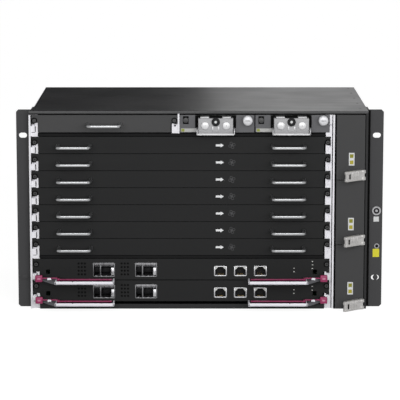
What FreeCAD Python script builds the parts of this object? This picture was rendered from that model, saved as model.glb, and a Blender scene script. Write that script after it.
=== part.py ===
import FreeCAD, Part
import math
import os

# Optical line terminal chassis, six rack units high, in millimetres.
# X runs to the right, Y to the back and Z up. The origin is the middle of the
# footprint, on the lower face of the base. The front faces -Y.

Vector = FreeCAD.Vector

# Sheet-metal body
BODY_W = 440.0
BODY_D = 268.7
SHEET = 1.5
BASE_LIP = 6.5
COVER_LIP = 3.6
COVER_CLEAR = 1.8
COVER_WING_FRONT = 4.0
COVER_WING_BACK = 13.0
FLANGE = 8.0
REAR_SPACE = 28.0

# Rack ears, standing outside the body and set back from the front plane
EAR_W = 21.3
EAR_T = 2.0
EAR_SETBACK = 15.0
EAR_LEG = 30.0
EAR_CORNER = 3.0
EAR_SLOT_L = 10.5
EAR_SLOT_W = 6.8
EAR_SLOT_INSET = 8.75
EAR_SLOT_LOW = 39.4
EAR_SLOT_SPACING = 190.5

# Wrist-strap jack in the right ear
JACK_X_INSET = 8.1
JACK_Z = 129.5
JACK_RIM_R = 5.9
JACK_RIM_T = 2.5
JACK_RIM_SIDES = 24
JACK_BARREL = 7.0
JACK_BARREL_L = 12.0
JACK_BORE_R = 2.0

# Rows of the card bay, from the base upwards
BOARD_COUNT = 2
BOARD_H = 28.1
BOARD_CLEAR = 1.0
BOARD_BASE_GAP = 3.7
SLOT_COUNT = 7
SLOT_H = 22.1
ROW_CLEAR = 0.5
SHELF_EDGE = 3.8
SHELF_SET = 1.0
TOP_GAP = 1.4
TOP_ROW_H = 22.9

# Front panels of cards and fillers
PANEL_SET = 0.5
PANEL_T = 1.5
PANEL_FLANGE_D = 12.0
PANEL_FLANGE_T = 1.2
NOTCH_H = 10.6
NOTCH_STEP = 2.0
BOARD_NOTCH_H = 9.0
SEAT_GAP = 0.2
SIDE_GAP = 0.4

# Die-cast rails that frame the card bay
RAIL_T = 5.0
RAIL_PLATE_W = 9.5
RAIL_BAND_W = 2.4
RAIL_GROOVE_W = 1.1
RAIL_OVERHANG = 3.8
RAIL_FOOT = 0.3
RAIL_RIGHT_NARROW = 1.1
RAIL_STRIP_W = 2.8
POCKET_H = 2.0
POCKET_GROOVE = 1.3
POCKET_GROOVE_D = 2.0
POCKET_SILL = 1.5
POCKET_FLOOR = 1.5
GUIDE_PAST = 2.8
GUIDE_T = 1.2
GUIDE_LEAD = 1.0
GUIDE_CLEAR = 0.2
CARD_GAP_LEFT = 1.4
CARD_GAP_RIGHT = 1.9
CARD_END_GAP = 0.5

# Captive screws
SCREW_HEAD_R = 3.5
SCREW_HEAD_T = 2.6
KNURLS = 12
SCREW_INSET = 3.8
SCREW_DROP = 7.1

# Bow handles on the fillers
HANDLE_L = 46.2
HANDLE_PROUD = 30.0
HANDLE_BAR = 3.4
HANDLE_THICK = 4.2
HANDLE_R = 7.0
HANDLE_INSET = 32.5
BEND_FLATS = 3

# Top bay: half-width filler, divider and two power modules
POWER_W = 97.2
POWER_GAP = 1.4
DIVIDER_T = 2.6
DIVIDER_POCKET_W = 7.6
DIVIDER_POCKET_H = 11.5
DIVIDER_SET = 1.7
DIVIDER_SLOT_INSET = 2.0
POWER_CASE_T = 1.0
TERMINAL_SHIFT = 2.0
TERMINAL_W = 45.2
TERMINAL_FOOT = 0.5
TERMINAL_PROUD = 14.0
TERMINAL_TOP_DROP = 2.6
TERMINAL_PLUG = 6.0
POWER_SILL = 1.2
GUARD_SIDE = 2.2
GUARD_T = 1.3
GUARD_PROUD = 20.0
GUARD_DROP = 1.2
GUARD_CHEEK_H = 8.0
GUARD_LIP_H = 2.4
TAB_W = 11.4
TAB_SPACING = 28.6
TAB_T = 1.5
TAB_SET = 1.0
TERMINAL_SCREW_R = 5.0
TERMINAL_SCREW_T = 3.0
TERMINAL_SCREW_SPACING = 27.6
TERMINAL_SCREW_Z = 11.0
COLLAR_R = 5.0
COLLAR_BORE_R = 2.6
COLLAR_T = 1.8
COLLAR_Z = 15.6
COLLAR_FLOOR = 0.6
ROUND_SIDES = 20
KNOB_INSET = 8.8
KNOB_Z = 16.6
KNOB_R = 6.2
KNOB_L = 9.0
KNOB_SHANK_R = 2.5
KNOB_STAND = 2.5
KNOB_CHAMFER = 0.9
POWER_SCREW_X = 7.6
POWER_SCREW_Z = 16.2
POWER_RECESS_W = 7.4
POWER_RECESS_H = 10.4
RUN_CLEAR = 0.08

# Control boards
PCB_T = 1.6
PCB_Z = 1.7
PCB_EDGE = 0.5
CAGE_W = 29.0
CAGE_H = 18.8
CAGE_WALL = 1.0
CAGE_D = 48.0
CAGE_LIFT = 0.6
CAGE_POST_X = 9.0
CAGE_POST_W = 1.6
CAGE_POST_SET = 3.0
CAGE_FIRST_X = 93.2
CAGE_PITCH = 55.6
CAGE_STOP_W = 4.2
CAGE_STOP_H = 10.0
CAGE_STOP_D = 12.0
CAGE_STOP_SET = 1.0
CAGE_STOP_Z = 2.0
PORT_W = 17.0
PORT_D = 20.0
PORT_LIFT = 1.4
PORT_MOUTH_W = 12.4
PORT_MOUTH_H = 7.6
PORT_KEY_W = 6.4
PORT_KEY_H = 2.6
PORT_MOUTH_D = 14.0
PORT_FLOOR = 1.6
PORT_ROOF = 1.9
PORT_COUNT = 3
PORT_FIRST_X = 247.1
PORT_PITCH = 26.4
PORT_RIM = 0.6
CUT_CLEAR = 0.2
WINDOW_X = 16.6
WINDOW_W = 5.4
WINDOW_Z = 7.5
WINDOW_H = 6.0

# Ejector lever and its sliding lock, measured from the end of the panel.
# A stand-out is a distance in front of the front plane.
LEVER_T = 4.2
LEVER_Z = 0.4
LEVER_PIVOT_X = 8.9
LEVER_PIVOT_OUT = 6.0
LEVER_EYE_R = 4.6
LEVER_START_X = 29.9
LEVER_END_X = 107.8
LEVER_OUT = 35.0
LEVER_BACK_OUT = 14.0
LEVER_WALL = 2.0
LEVER_FLOOR = 1.3
LEVER_STOP_W = 5.0
LEVER_STOP_H = 2.2
LEVER_STOP_X = 19.9
LEVER_STOP_D = 4.0
LEVER_STOP_GAP = 1.5
LEVER_SHOULDER = 4.0
LEVER_HEEL_X = 3.0
LEVER_HEEL_Y = 3.4
LEVER_TAIL_X = 4.4
LEVER_TAIL_OUT = 11.8
PIN_R = 1.8
EAR_PLATE_T = 1.5
EAR_PLATE_W = 7.2
EAR_GAP = 0.4
LOCK_PRESS = 1.5
LOCK_BUTTON_X = 3.6
LOCK_BUTTON_W = 9.5
LOCK_BUTTON_H = 9.0
LOCK_BUTTON_T = 4.5
LOCK_REST = 0.7
LOCK_NECK_T = 1.3
LOCK_NECK_W = 4.0
LOCK_CLEAR = 0.3
LOCK_RISER = 3.0
LOCK_START_GAP = 0.5
LOCK_END_GAP = 1.5
LOCK_CHAMFER = 1.0
LOCK_BAR_W = 9.5
LOCK_BAR_T = 2.3

# Fan modules and their latches
FAN_COUNT = 3
FAN_W = 37.2
FAN_SIDE_GAP = 1.0
FAN_TOP_RISE = 0.6
FAN_CLEAR = 0.7
FAN_FACE_T = 1.5
FAN_FACE_LIP = 0.5
FAN_TRAY_T = 1.2
FAN_DEPTH = 222.0
FAN_FRAME_T = 25.4
FAN_RIM = 2.0
FAN_BORE_SIDES = 24
FAN_CENTRE = 88.0
FAN_HUB_R = 16.0
FAN_HUB_GAP = 1.2
FAN_TIP_GAP = 2.8
FAN_BLADES = 5
FAN_BLADE_T = 1.4
FAN_BLADE_CAMBER = 3.0
FAN_BLADE_SET = 1.3
FAN_BLADE_ROOT = 3.0
FAN_BLADE_PITCH = 38.0
FAN_STRUT = 3.0
FAN_SPINDLE_R = 2.0
FAN_SPINDLE_SET = 2.0
LATCH_H = 13.4
LATCH_BASE = 0.6
LATCH_PIVOT_INSET = 3.0
LATCH_EYE_GAP = 0.6
LATCH_EYE_R = 4.2
LATCH_REACH = 25.0
LATCH_TIP_OUT = 27.0
LATCH_TIP_T = 7.0
LATCH_FORK_GAP = 0.3
LATCH_SHOULDER = 4.0
LATCH_SHOULDER_DROP = 1.5
LATCH_TIP_SET = 3.0
LATCH_TIP_DROP = 2.5
LATCH_TIP_LEAN = 1.2
LATCH_BACK_X = 6.0
LATCH_BACK_Y = 3.5
LATCH_WAIST_X = 6.0
LATCH_WAIST_Y = 2.0
LATCH_HEEL_X = 2.0
LATCH_HEEL_Y = 3.6
LATCH_FORK_D = 6.2
LATCH_CHAMFER = 1.6
LATCH_RIB = 1.0
LATCH_RIB_PITCH = 3.0
LATCH_RIBS = 4
LATCH_RIB_START = 2.2
LATCH_RIB_MARGIN = 1.5
LATCH_RIB_D = 0.5
LATCH_EYELET_W = 2.4
LATCH_EYELET_H = 7.0
LATCH_EYELET_D = 3.0
LATCH_EYELET_SET = 0.4
LATCH_PIN_R = 1.5
LATCH_LUG_T = 3.8
LATCH_LUG_W = 5.6

# Backplane and its connectors
BACKPLANE_T = 3.0
CONNECTOR_L = 190.0
CONNECTOR_H = 11.0
CONNECTOR_D = 9.0
CONNECTOR_END = 2.0
CONNECTOR_WALL = 3.0
CONNECTOR_MOUTH_D = 6.0

# Vent slots in the side panels
VENT_L = 48.0
VENT_H = 16.0
VENT_PITCH_Y = 57.0
VENT_PITCH_Z = 42.0
VENT_MARGIN = 16.0

# Air windows through the wall between the card bay and the fans
AIR_COLUMNS = 3
AIR_W = 44.0
AIR_H = 62.0
AIR_WEB = 8.0

# Places that follow from the sizes above
front = -BODY_D / 2
back = BODY_D / 2
left = -BODY_W / 2
right = BODY_W / 2
board_pitch = BOARD_H + BOARD_CLEAR
board_base = BASE_LIP + BOARD_BASE_GAP
lower_shelf = board_base + BOARD_COUNT * board_pitch - BOARD_CLEAR + ROW_CLEAR
slot_pitch = SLOT_H + ROW_CLEAR
slot_base = lower_shelf + SHELF_EDGE + ROW_CLEAR
upper_shelf = slot_base + SLOT_COUNT * slot_pitch
top_base = upper_shelf + SHELF_EDGE + TOP_GAP
row_top = top_base + TOP_ROW_H
body_h = row_top + COVER_CLEAR + COVER_LIP

panel_face = front + PANEL_SET
panel_back = panel_face + PANEL_T
rail_face = panel_back + SEAT_GAP
rail_back = rail_face + RAIL_T
guide_start = panel_back + PANEL_FLANGE_D + GUIDE_LEAD
backplane_y = back - SHEET - REAR_SPACE - BACKPLANE_T
connector_face = backplane_y - CONNECTOR_D
card_end = connector_face - CARD_END_GAP
guide_z = PCB_Z - GUIDE_CLEAR
guide_gap = PCB_T + 2 * GUIDE_CLEAR
cage_z = PCB_Z + PCB_T + CAGE_LIFT
port_z = PCB_Z + PCB_T + PORT_LIFT
port_h = PORT_FLOOR + PORT_MOUTH_H + PORT_KEY_H + PORT_ROOF

fan_right = right - 2 * SHEET - FAN_SIDE_GAP
fan_left = fan_right - FAN_W
wall_right = fan_left - SIDE_GAP
wall_left = wall_right - SHEET
rail_left_out = left - RAIL_OVERHANG
rail_left_band = rail_left_out + RAIL_BAND_W
rail_left_in = rail_left_band + RAIL_PLATE_W
rail_right_out = wall_left - SIDE_GAP
rail_right_band = rail_right_out - RAIL_BAND_W
rail_right_plate = rail_right_band - RAIL_GROOVE_W
rail_right_in = rail_right_plate - RAIL_PLATE_W + RAIL_RIGHT_NARROW
card_left = rail_left_band + CARD_GAP_LEFT
card_right = rail_right_plate - CARD_GAP_RIGHT
card_mid = (card_left + card_right) / 2
power_right = card_right - POWER_GAP
power_left = [power_right - 2 * POWER_W - POWER_GAP, power_right - POWER_W]
knob_x = POWER_W - KNOB_INSET
guard_w = TERMINAL_W + 2 * GUARD_SIDE
divider_right = power_left[0] - ROW_CLEAR
divider_left = divider_right - DIVIDER_T
lever_pivot_x = card_left + LEVER_PIVOT_X
lock_back_out = LEVER_TAIL_OUT + LOCK_PRESS + LOCK_REST
fan_pitch = (row_top + FAN_TOP_RISE - RAIL_FOOT) / FAN_COUNT
fan_x = (fan_left + fan_right) / 2
fan_tray_rise = 2 * SHEET
fan_frame_side = fan_pitch - FAN_CLEAR - fan_tray_rise - FAN_FACE_LIP - 2 * FAN_TRAY_T
fan_bore_r = fan_frame_side / 2 - FAN_RIM
fan_hub_l = FAN_FRAME_T - FAN_STRUT - 2 * FAN_HUB_GAP
fan_chord = (fan_hub_l - 2 * FAN_BLADE_SET) / math.cos(math.radians(FAN_BLADE_PITCH))
latch_pivot_out = FAN_FACE_T + LATCH_EYE_GAP + LATCH_EYE_R
latch_fork = LATCH_LUG_T + 2 * LATCH_FORK_GAP
latch_pivot_x = fan_right - LATCH_PIVOT_INSET


def out(stand):
    """Y of a point that stands this far in front of the front plane."""
    return front - stand


def block(x0, x1, y0, y1, z0, z1):
    return Part.makeBox(x1 - x0, y1 - y0, z1 - z0, Vector(x0, y0, z0))


def rod_x(x0, x1, y, z, r):
    return Part.makeCylinder(r, x1 - x0, Vector(x0, y, z), Vector(1, 0, 0))


def rod_y(x, y0, y1, z, r):
    return Part.makeCylinder(r, y1 - y0, Vector(x, y0, z), Vector(0, 1, 0))


def rod_z(x, y, z0, z1, r):
    return Part.makeCylinder(r, z1 - z0, Vector(x, y, z0), Vector(0, 0, 1))


def plan_prism(points, z0, z1):
    """A plan outline of (x, y) points raised from z0 to z1."""
    loop = [Vector(x, y, z0) for x, y in points]
    face = Part.Face(Part.makePolygon(loop + loop[:1]))
    return face.extrude(Vector(0, 0, z1 - z0))


def front_prism(points, y0, y1):
    """A front outline of (x, z) points run back from y0 to y1."""
    loop = [Vector(x, y0, z) for x, z in points]
    face = Part.Face(Part.makePolygon(loop + loop[:1]))
    return face.extrude(Vector(0, y1 - y0, 0))


def side_prism(points, x0, x1):
    """A side outline of (y, z) points run across from x0 to x1."""
    loop = [Vector(x0, y, z) for y, z in points]
    face = Part.Face(Part.makePolygon(loop + loop[:1]))
    return face.extrude(Vector(x1 - x0, 0, 0))


def many_sided(count, a, b, radius):
    """Corners of an even polygon about (a, b): a knurled or faceted round."""
    turns = [2 * math.pi * (i + 0.5) / count for i in range(count)]
    return [(a + radius * math.cos(turn), b + radius * math.sin(turn)) for turn in turns]


def join(shapes):
    whole = shapes[0]
    if len(shapes) > 1:
        whole = whole.fuse(shapes[1:])
    return whole.removeSplitter()


def mirrored(shape):
    """The same piece at the other end of the card bay."""
    return shape.mirror(Vector(card_mid, 0, 0), Vector(1, 0, 0))


def save(node, *solids):
    shape = solids[0] if len(solids) == 1 else Part.makeCompound(list(solids))
    shape.exportStep("parts/" + node + ".step")


# Chassis shell


def bottom_panel():
    floor = block(left, right, front, back, 0, SHEET)
    deep = rail_back + SEAT_GAP
    feet = [block(left - 1, rail_left_in + SEAT_GAP, front - 1, deep, -1, SHEET + 1)]
    feet.append(block(rail_right_in - SEAT_GAP, rail_right_out + SEAT_GAP, front - 1, deep, -1, SHEET + 1))
    lip_0 = rail_left_in + SEAT_GAP
    lip_1 = rail_right_in - SEAT_GAP
    lip = block(lip_0, lip_1, front, front + SHEET, 0, BASE_LIP)
    return join([floor.cut(feet), lip])


def top_cover():
    corner = [(left, front), (rail_left_out, front), (rail_left_out, front + COVER_WING_FRONT)]
    corner.append((left, front + COVER_WING_BACK))
    roof = block(left, right, front, back, body_h - SHEET, body_h)
    wing = plan_prism(corner, body_h - SHEET, body_h)
    lip = block(rail_left_out, right, front, front + SHEET, body_h - COVER_LIP, body_h)
    return join([roof, wing, lip])


def vent_cutters(x0, x1, y0, y1):
    """Slots in even rows that fill a side wall between y0 and y1."""
    columns = int((y1 - y0 - 2 * VENT_MARGIN + VENT_PITCH_Y - VENT_L) // VENT_PITCH_Y)
    low = 2 * SHEET + FLANGE + VENT_MARGIN / 2
    rows = int((body_h - 2 * low + VENT_PITCH_Z - VENT_H) // VENT_PITCH_Z)
    first_y = (y0 + y1) / 2 - (columns - 1) * VENT_PITCH_Y / 2 - VENT_L / 2
    first_z = body_h / 2 - (rows - 1) * VENT_PITCH_Z / 2 - VENT_H / 2
    cutters = []
    for column in range(columns):
        for row in range(rows):
            y = first_y + column * VENT_PITCH_Y
            z = first_z + row * VENT_PITCH_Z
            cutters.append(block(x0 - 1, x1 + 1, y, y + VENT_L, z, z + VENT_H))
    return cutters


def side_panel(inner, outer, y_front):
    """A folded side wall; its flanges lie on the base and under the cover."""
    turn = 1 if inner > outer else -1
    x0 = min(inner, outer)
    x1 = max(inner, outer)
    foot = outer + turn * FLANGE
    low = SHEET
    high = body_h - SHEET
    rear = back - SHEET
    wall = block(x0, x1, y_front, rear, low, high).cut(vent_cutters(x0, x1, y_front, rear))
    f0 = min(outer, foot)
    f1 = max(outer, foot)
    start = max(y_front, front + SHEET)
    pieces = [wall]
    pieces.append(block(f0, f1, start, rear, low, low + SHEET))
    pieces.append(block(f0, f1, start, rear, high - SHEET, high))
    return pieces


def side_panel_left():
    return join(side_panel(left + SHEET, left, rail_back))


def side_panel_right():
    """The right wall comes to the front plane and ends in a narrow return."""
    face = block(right - 2 * SHEET, right, front, front + SHEET, SHEET, body_h - COVER_LIP)
    pieces = side_panel(right - SHEET, right, front + SHEET)
    return join(pieces + [face])


def rear_panel():
    return block(left, right, back - SHEET, back, SHEET, body_h - SHEET)


def fan_bay_wall():
    """A sheet with windows at each fan's height, two of them astride its middle."""
    wall = block(wall_left, wall_right, rail_back, back - SHEET, SHEET, body_h - SHEET)
    first = front + FAN_CENTRE - AIR_WEB / 2 - AIR_W
    cutters = []
    for index in range(FAN_COUNT):
        z = fan_middle(index)
        for column in range(AIR_COLUMNS):
            y = first + column * (AIR_W + AIR_WEB)
            window = block(wall_left - 1, wall_right + 1, y, y + AIR_W, z - AIR_H / 2, z + AIR_H / 2)
            cutters.append(window)
    return wall.cut(cutters)


def obround(x, y0, y1, z, length, width):
    reach = (length - width) / 2
    ends = [rod_y(x + side * reach, y0, y1, z, width / 2) for side in (-1, 1)]
    middle = block(x - reach, x + reach, y0, y1, z - width / 2, z + width / 2)
    return join(ends + [middle])


def rack_ear(side):
    """A folded bracket; side is -1 on the left and 1 on the right."""
    body = side * BODY_W / 2
    tip = body + side * EAR_W
    leg = body + side * EAR_T
    y0 = front + EAR_SETBACK
    outline = [(body, y0), (tip, y0), (tip, y0 + EAR_T), (leg, y0 + EAR_T)]
    outline += [(leg, y0 + EAR_LEG), (body, y0 + EAR_LEG)]
    ear = plan_prism(outline, 0, body_h)
    corners = [e for e in ear.Edges if is_ear_corner(e, tip)]
    ear = ear.makeChamfer(EAR_CORNER, corners)
    x = tip - side * EAR_SLOT_INSET
    for z in (EAR_SLOT_LOW, EAR_SLOT_LOW + EAR_SLOT_SPACING):
        ear = ear.cut(obround(x, y0 - 1, y0 + EAR_T + 1, z, EAR_SLOT_L, EAR_SLOT_W))
    return ear


def is_ear_corner(edge, tip):
    """The two short edges at the outer top and bottom corners of an ear."""
    box = edge.BoundBox
    short = box.YLength > EAR_T / 2 and box.XLength < 0.01 and box.ZLength < 0.01
    return short and abs(box.XMin - tip) < 0.01


def jack_x():
    return right + EAR_W - JACK_X_INSET


def strap_jack():
    x = jack_x()
    y0 = front + EAR_SETBACK
    rim = front_prism(many_sided(JACK_RIM_SIDES, x, JACK_Z, JACK_RIM_R), y0 - JACK_RIM_T, y0)
    half = JACK_BARREL / 2
    barrel = block(x - half, x + half, y0, y0 + JACK_BARREL_L, JACK_Z - half, JACK_Z + half)
    bore = rod_y(x, y0 - JACK_RIM_T - 1, y0 + JACK_BARREL_L + 1, JACK_Z, JACK_BORE_R)
    return join([rim, barrel]).cut(bore)


def rack_ear_right():
    y0 = front + EAR_SETBACK
    x = jack_x()
    half = JACK_BARREL / 2 + RUN_CLEAR
    hole = block(x - half, x + half, y0 - 1, y0 + EAR_T + 1, JACK_Z - half, JACK_Z + half)
    return rack_ear(1).cut(hole)


# Rails, shelves and divider of the card bay


def row_bases():
    """Base height and notch height of each row that a rail carries."""
    rows = [(board_base + i * board_pitch, BOARD_NOTCH_H) for i in range(BOARD_COUNT)]
    rows += [(slot_base + i * slot_pitch, NOTCH_H) for i in range(SLOT_COUNT)]
    rows.append((top_base, NOTCH_H))
    return rows


def card_rail(side):
    """A cast front plate with a pocket for each row of cards.

    side is 1 on the left and -1 on the right: the way to the bay's middle.
    """
    if side > 0:
        band = (rail_left_out, rail_left_band)
        plate = (rail_left_band, rail_left_in)
    else:
        band = (rail_right_band, rail_right_out)
        plate = (rail_right_in, rail_right_plate)
    inner = rail_left_in if side > 0 else rail_right_in
    pieces = [block(plate[0], plate[1], rail_face, rail_back, RAIL_FOOT, row_top)]
    pieces.append(block(band[0], band[1], front, rail_back, RAIL_FOOT, row_top))
    if side < 0:
        groove_back = rail_face + POCKET_GROOVE_D
        pieces.append(block(plate[1], band[0], groove_back, rail_back, RAIL_FOOT, row_top))
    rail = join(pieces)
    return rail.cut(rail_pockets(side, inner, plate))


def card_guides(side):
    """Bars on the bay's side walls; a control board runs between two of them."""
    wall = left + SHEET if side > 0 else wall_left
    tip = (rail_left_in if side > 0 else rail_right_in) + side * GUIDE_PAST
    x0 = min(wall, tip)
    x1 = max(wall, tip)
    guides = []
    for row, (base, _) in enumerate(row_bases()[:-1]):
        levels = [base + guide_z - GUIDE_T]
        if row < BOARD_COUNT:
            levels.append(base + guide_z + guide_gap)
        guides += [block(x0, x1, guide_start, backplane_y, z, z + GUIDE_T) for z in levels]
    return guides


def rail_pockets(side, inner, plate):
    """A through slot above each block, and the groove beside the thin strip."""
    strip = inner - side * RAIL_STRIP_W
    groove = strip - side * POCKET_GROOVE
    outer = plate[0] if side > 0 else plate[1]
    cutters = []
    for base, notch in row_bases():
        top = base + notch
        p0 = min(outer, groove)
        p1 = max(outer, groove)
        cutters.append(block(p0, p1, rail_face - 1, rail_back - POCKET_FLOOR, top - POCKET_H, top))
        g0 = min(strip, groove)
        g1 = max(strip, groove)
        deep = rail_face + POCKET_GROOVE_D
        cutters.append(block(g0, g1, rail_face - 1, deep, base + POCKET_SILL, top))
    return cutters


def shelf(z):
    """A folded shelf between the rails; its front edge shows as a dark bar."""
    lead = front + SHELF_SET
    top = block(rail_left_in, rail_right_in, lead, backplane_y, z + SHELF_EDGE - SHEET, z + SHELF_EDGE)
    edge = block(rail_left_in, rail_right_in, lead, lead + SHEET, z, z + SHELF_EDGE)
    return join([top, edge])


def bay_divider():
    shelf_top = upper_shelf + SHELF_EDGE
    wall = block(divider_left, divider_right, front + DIVIDER_SET, backplane_y, shelf_top, body_h - SHEET)
    x0 = divider_left - DIVIDER_POCKET_W
    z1 = top_base + DIVIDER_POCKET_H
    foot = block(x0, divider_left, rail_face, rail_back, shelf_top, z1)
    slot_top = z1 - POCKET_H
    slot = block(x0 + RAIL_STRIP_W, divider_left - DIVIDER_SLOT_INSET, rail_face - 1, rail_back + 1,
                 slot_top - POCKET_H, slot_top)
    return join([wall, foot]).cut(slot)


def backplane():
    x0 = left + 2 * SHEET
    board = block(x0, wall_left, backplane_y, backplane_y + BACKPLANE_T, 2 * SHEET + RAIL_FOOT, row_top)
    return board


def connectors():
    """One plug-in connector on the backplane for each service slot and board."""
    rows = []
    for base, _ in row_bases()[:-1]:
        z = base + guide_z + guide_gap + GUIDE_T
        x0 = card_mid - CONNECTOR_L / 2
        x1 = card_mid + CONNECTOR_L / 2
        socket = block(x0, x1, connector_face, backplane_y, z, z + CONNECTOR_H)
        low = z + CONNECTOR_WALL
        high = z + CONNECTOR_H - CONNECTOR_WALL
        mouth_end = connector_face + CONNECTOR_MOUTH_D
        mouth = block(x0 + CONNECTOR_END, x1 - CONNECTOR_END, connector_face - 1, mouth_end, low, high)
        rows.append(socket.cut(mouth))
    return rows


# Fillers


def panel_outline(x0, x1, z0, height, notch, notch_right=True):
    """Front outline of a panel whose lower corners clear the rail blocks."""
    step_x = rail_left_in - RAIL_STRIP_W - POCKET_GROOVE
    reach = step_x - x0 + RAIL_STRIP_W + POCKET_GROOVE + SIDE_GAP
    step = step_x - x0
    low = z0 + notch
    high = low + NOTCH_STEP
    points = [(x0, z0 + height), (x0, low), (x0 + step, low), (x0 + step, high)]
    points += [(x0 + reach, high), (x0 + reach, z0)]
    if notch_right:
        points += [(x1 - reach, z0), (x1 - reach, high), (x1 - step, high)]
        points += [(x1 - step, low), (x1, low)]
    else:
        points.append((x1, z0))
    points.append((x1, z0 + height))
    return points


def folded_panel(x0, x1, z0, height, notch):
    """A face with two flanges turned back, like a shallow tray."""
    face = front_prism(panel_outline(x0, x1, z0, height, notch), panel_face, panel_back)
    in0 = rail_left_in + SIDE_GAP
    in1 = x1 - (in0 - x0)
    deep = panel_back + PANEL_FLANGE_D
    top = z0 + height
    flanges = [block(in0, in1, panel_back, deep, z0, z0 + PANEL_FLANGE_T)]
    flanges.append(block(in0, in1, panel_back, deep, top - PANEL_FLANGE_T, top))
    return join([face] + flanges)


def captive_screw(x, z, face=panel_face):
    """A knurled head; the shank behind it stays out of sight."""
    return front_prism(many_sided(KNURLS, x, z, SCREW_HEAD_R), face - SCREW_HEAD_T, face)


def bow_handle(x, z):
    """A flat bow of one section, bent round at both ends."""
    half = HANDLE_L / 2
    far = out(HANDLE_PROUD)
    outer = bow_line(x, half, far, HANDLE_R)
    inner = bow_line(x, half - HANDLE_THICK, far + HANDLE_THICK, HANDLE_R - HANDLE_THICK / 2)
    return plan_prism(outer + inner[::-1], z - HANDLE_BAR / 2, z + HANDLE_BAR / 2)


def bow_line(x, half, far, radius):
    """One side of the bow: a leg, a bend in short flats, the grip and back."""
    bend = [math.pi / 2 * i / BEND_FLATS for i in range(BEND_FLATS + 1)]
    run = [(x - half, panel_face)]
    run += [(x - half + radius * (1 - math.cos(t)), far + radius * (1 - math.sin(t))) for t in bend]
    return run + [(2 * x - px, py) for px, py in reversed(run)]


def handle_places(x0, x1, count):
    if count == 1:
        return [(x0 + x1) / 2]
    inset = HANDLE_INSET + HANDLE_L / 2
    return [x0 + inset, x1 - inset]


def screw_z(z0, height):
    return z0 + height - SCREW_DROP


def save_filler(name, x0, x1, z0, height, handles):
    z = screw_z(z0, height)
    screws = [captive_screw(x, z) for x in (x0 + SCREW_INSET, x1 - SCREW_INSET)]
    save(name + "_panel", folded_panel(x0, x1, z0, height, NOTCH_H), *screws)
    bows = [bow_handle(x, z0 + height / 2) for x in handle_places(x0, x1, handles)]
    save(name + "_handles", *bows)


# Control boards


def cage_x(index):
    return card_left + CAGE_FIRST_X + index * CAGE_PITCH


def port_x(index):
    return card_left + PORT_FIRST_X + index * PORT_PITCH


def board_panel(z0):
    plate = folded_panel(card_left, card_right, z0, BOARD_H, BOARD_NOTCH_H)
    deep = panel_back + 1
    pcb_top = z0 + PCB_Z + PCB_T + SEAT_GAP
    cutters = [block(rail_left_in, rail_right_in, deep - 1, guide_start, z0 - 1, pcb_top)]
    for index in range(2):
        x = cage_x(index) - CAGE_W / 2 - CUT_CLEAR
        z = z0 + cage_z - CUT_CLEAR
        wide = CAGE_W + 2 * CUT_CLEAR
        cutters.append(block(x, x + wide, front - 1, deep, z, z + CAGE_H + 2 * CUT_CLEAR))
    for index in range(PORT_COUNT):
        x = port_x(index) - PORT_W / 2 - CUT_CLEAR
        z = z0 + port_z - CUT_CLEAR
        wide = PORT_W + 2 * CUT_CLEAR
        cutters.append(block(x, x + wide, front - 1, deep, z, z + port_h + 2 * CUT_CLEAR))
    x = card_left + WINDOW_X
    window = block(x, x + WINDOW_W, front - 1, deep, z0 + WINDOW_Z, z0 + WINDOW_Z + WINDOW_H)
    ear = lever_ear(z0)
    plate = plate.cut(cutters + [window, mirrored(window)])
    return join([plate, ear, mirrored(ear)])


def lever_ear(z0):
    """The plate above the lever's eye, with the pin that the lever turns on."""
    low = z0 + LEVER_Z
    top = low + LEVER_T + EAR_GAP
    x = lever_pivot_x
    y = out(LEVER_PIVOT_OUT)
    half = EAR_PLATE_W / 2
    ear = block(x - half, x + half, y, panel_face, top, top + EAR_PLATE_T)
    nose = plan_prism(many_sided(8, x, y, half), top, top + EAR_PLATE_T)
    pin = rod_z(x, y, low, top + EAR_PLATE_T, PIN_R)
    return join([ear, nose, pin])


def board_pcb(z0):
    low = z0 + PCB_Z
    x0 = rail_left_in + PCB_EDGE
    x1 = rail_right_in - PCB_EDGE
    return block(x0, x1, panel_back, card_end, low, low + PCB_T)


def module_cage(index, z0):
    """A folded steel cage for a pluggable module, open at the front."""
    x0 = cage_x(index) - CAGE_W / 2
    z = z0 + cage_z
    y0 = panel_face - PORT_RIM
    y1 = y0 + CAGE_D
    shell = block(x0, x0 + CAGE_W, y0, y1, z, z + CAGE_H)
    hollow = block(x0 + CAGE_WALL, x0 + CAGE_W - CAGE_WALL, y0 - 1, y1 - CAGE_WALL, z + CAGE_WALL,
                   z + CAGE_H - CAGE_WALL)
    post_x = x0 + CAGE_POST_X
    post = block(post_x, post_x + CAGE_POST_W, y0 + CAGE_POST_SET, y1 - CAGE_WALL, z + CAGE_WALL,
                 z + CAGE_H - CAGE_WALL)
    stop_x = x0 + CAGE_W - CAGE_WALL - CAGE_STOP_W
    stop_y = y0 + CAGE_STOP_SET
    stop_z = z + CAGE_STOP_Z
    stop = block(stop_x, x0 + CAGE_W - CAGE_WALL, stop_y, stop_y + CAGE_STOP_D, stop_z, stop_z + CAGE_STOP_H)
    return join([shell.cut(hollow), post, stop])


def network_jack(index, z0):
    """A shielded jack: a square mouth with the key slot for the plug's clip."""
    x = port_x(index)
    z = z0 + port_z
    y0 = panel_face - PORT_RIM
    shell = block(x - PORT_W / 2, x + PORT_W / 2, y0, y0 + PORT_D, z, z + port_h)
    half = PORT_MOUTH_W / 2
    key = PORT_KEY_W / 2
    floor = z + PORT_FLOOR
    roof = floor + PORT_MOUTH_H
    peak = roof + PORT_KEY_H
    mouth = [(x - half, floor), (x + half, floor), (x + half, roof), (x + key, roof), (x + key, peak)]
    mouth += [(x - key, peak), (x - key, roof), (x - half, roof)]
    return shell.cut(front_prism(mouth, y0 - 1, y0 + PORT_MOUTH_D))


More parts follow.
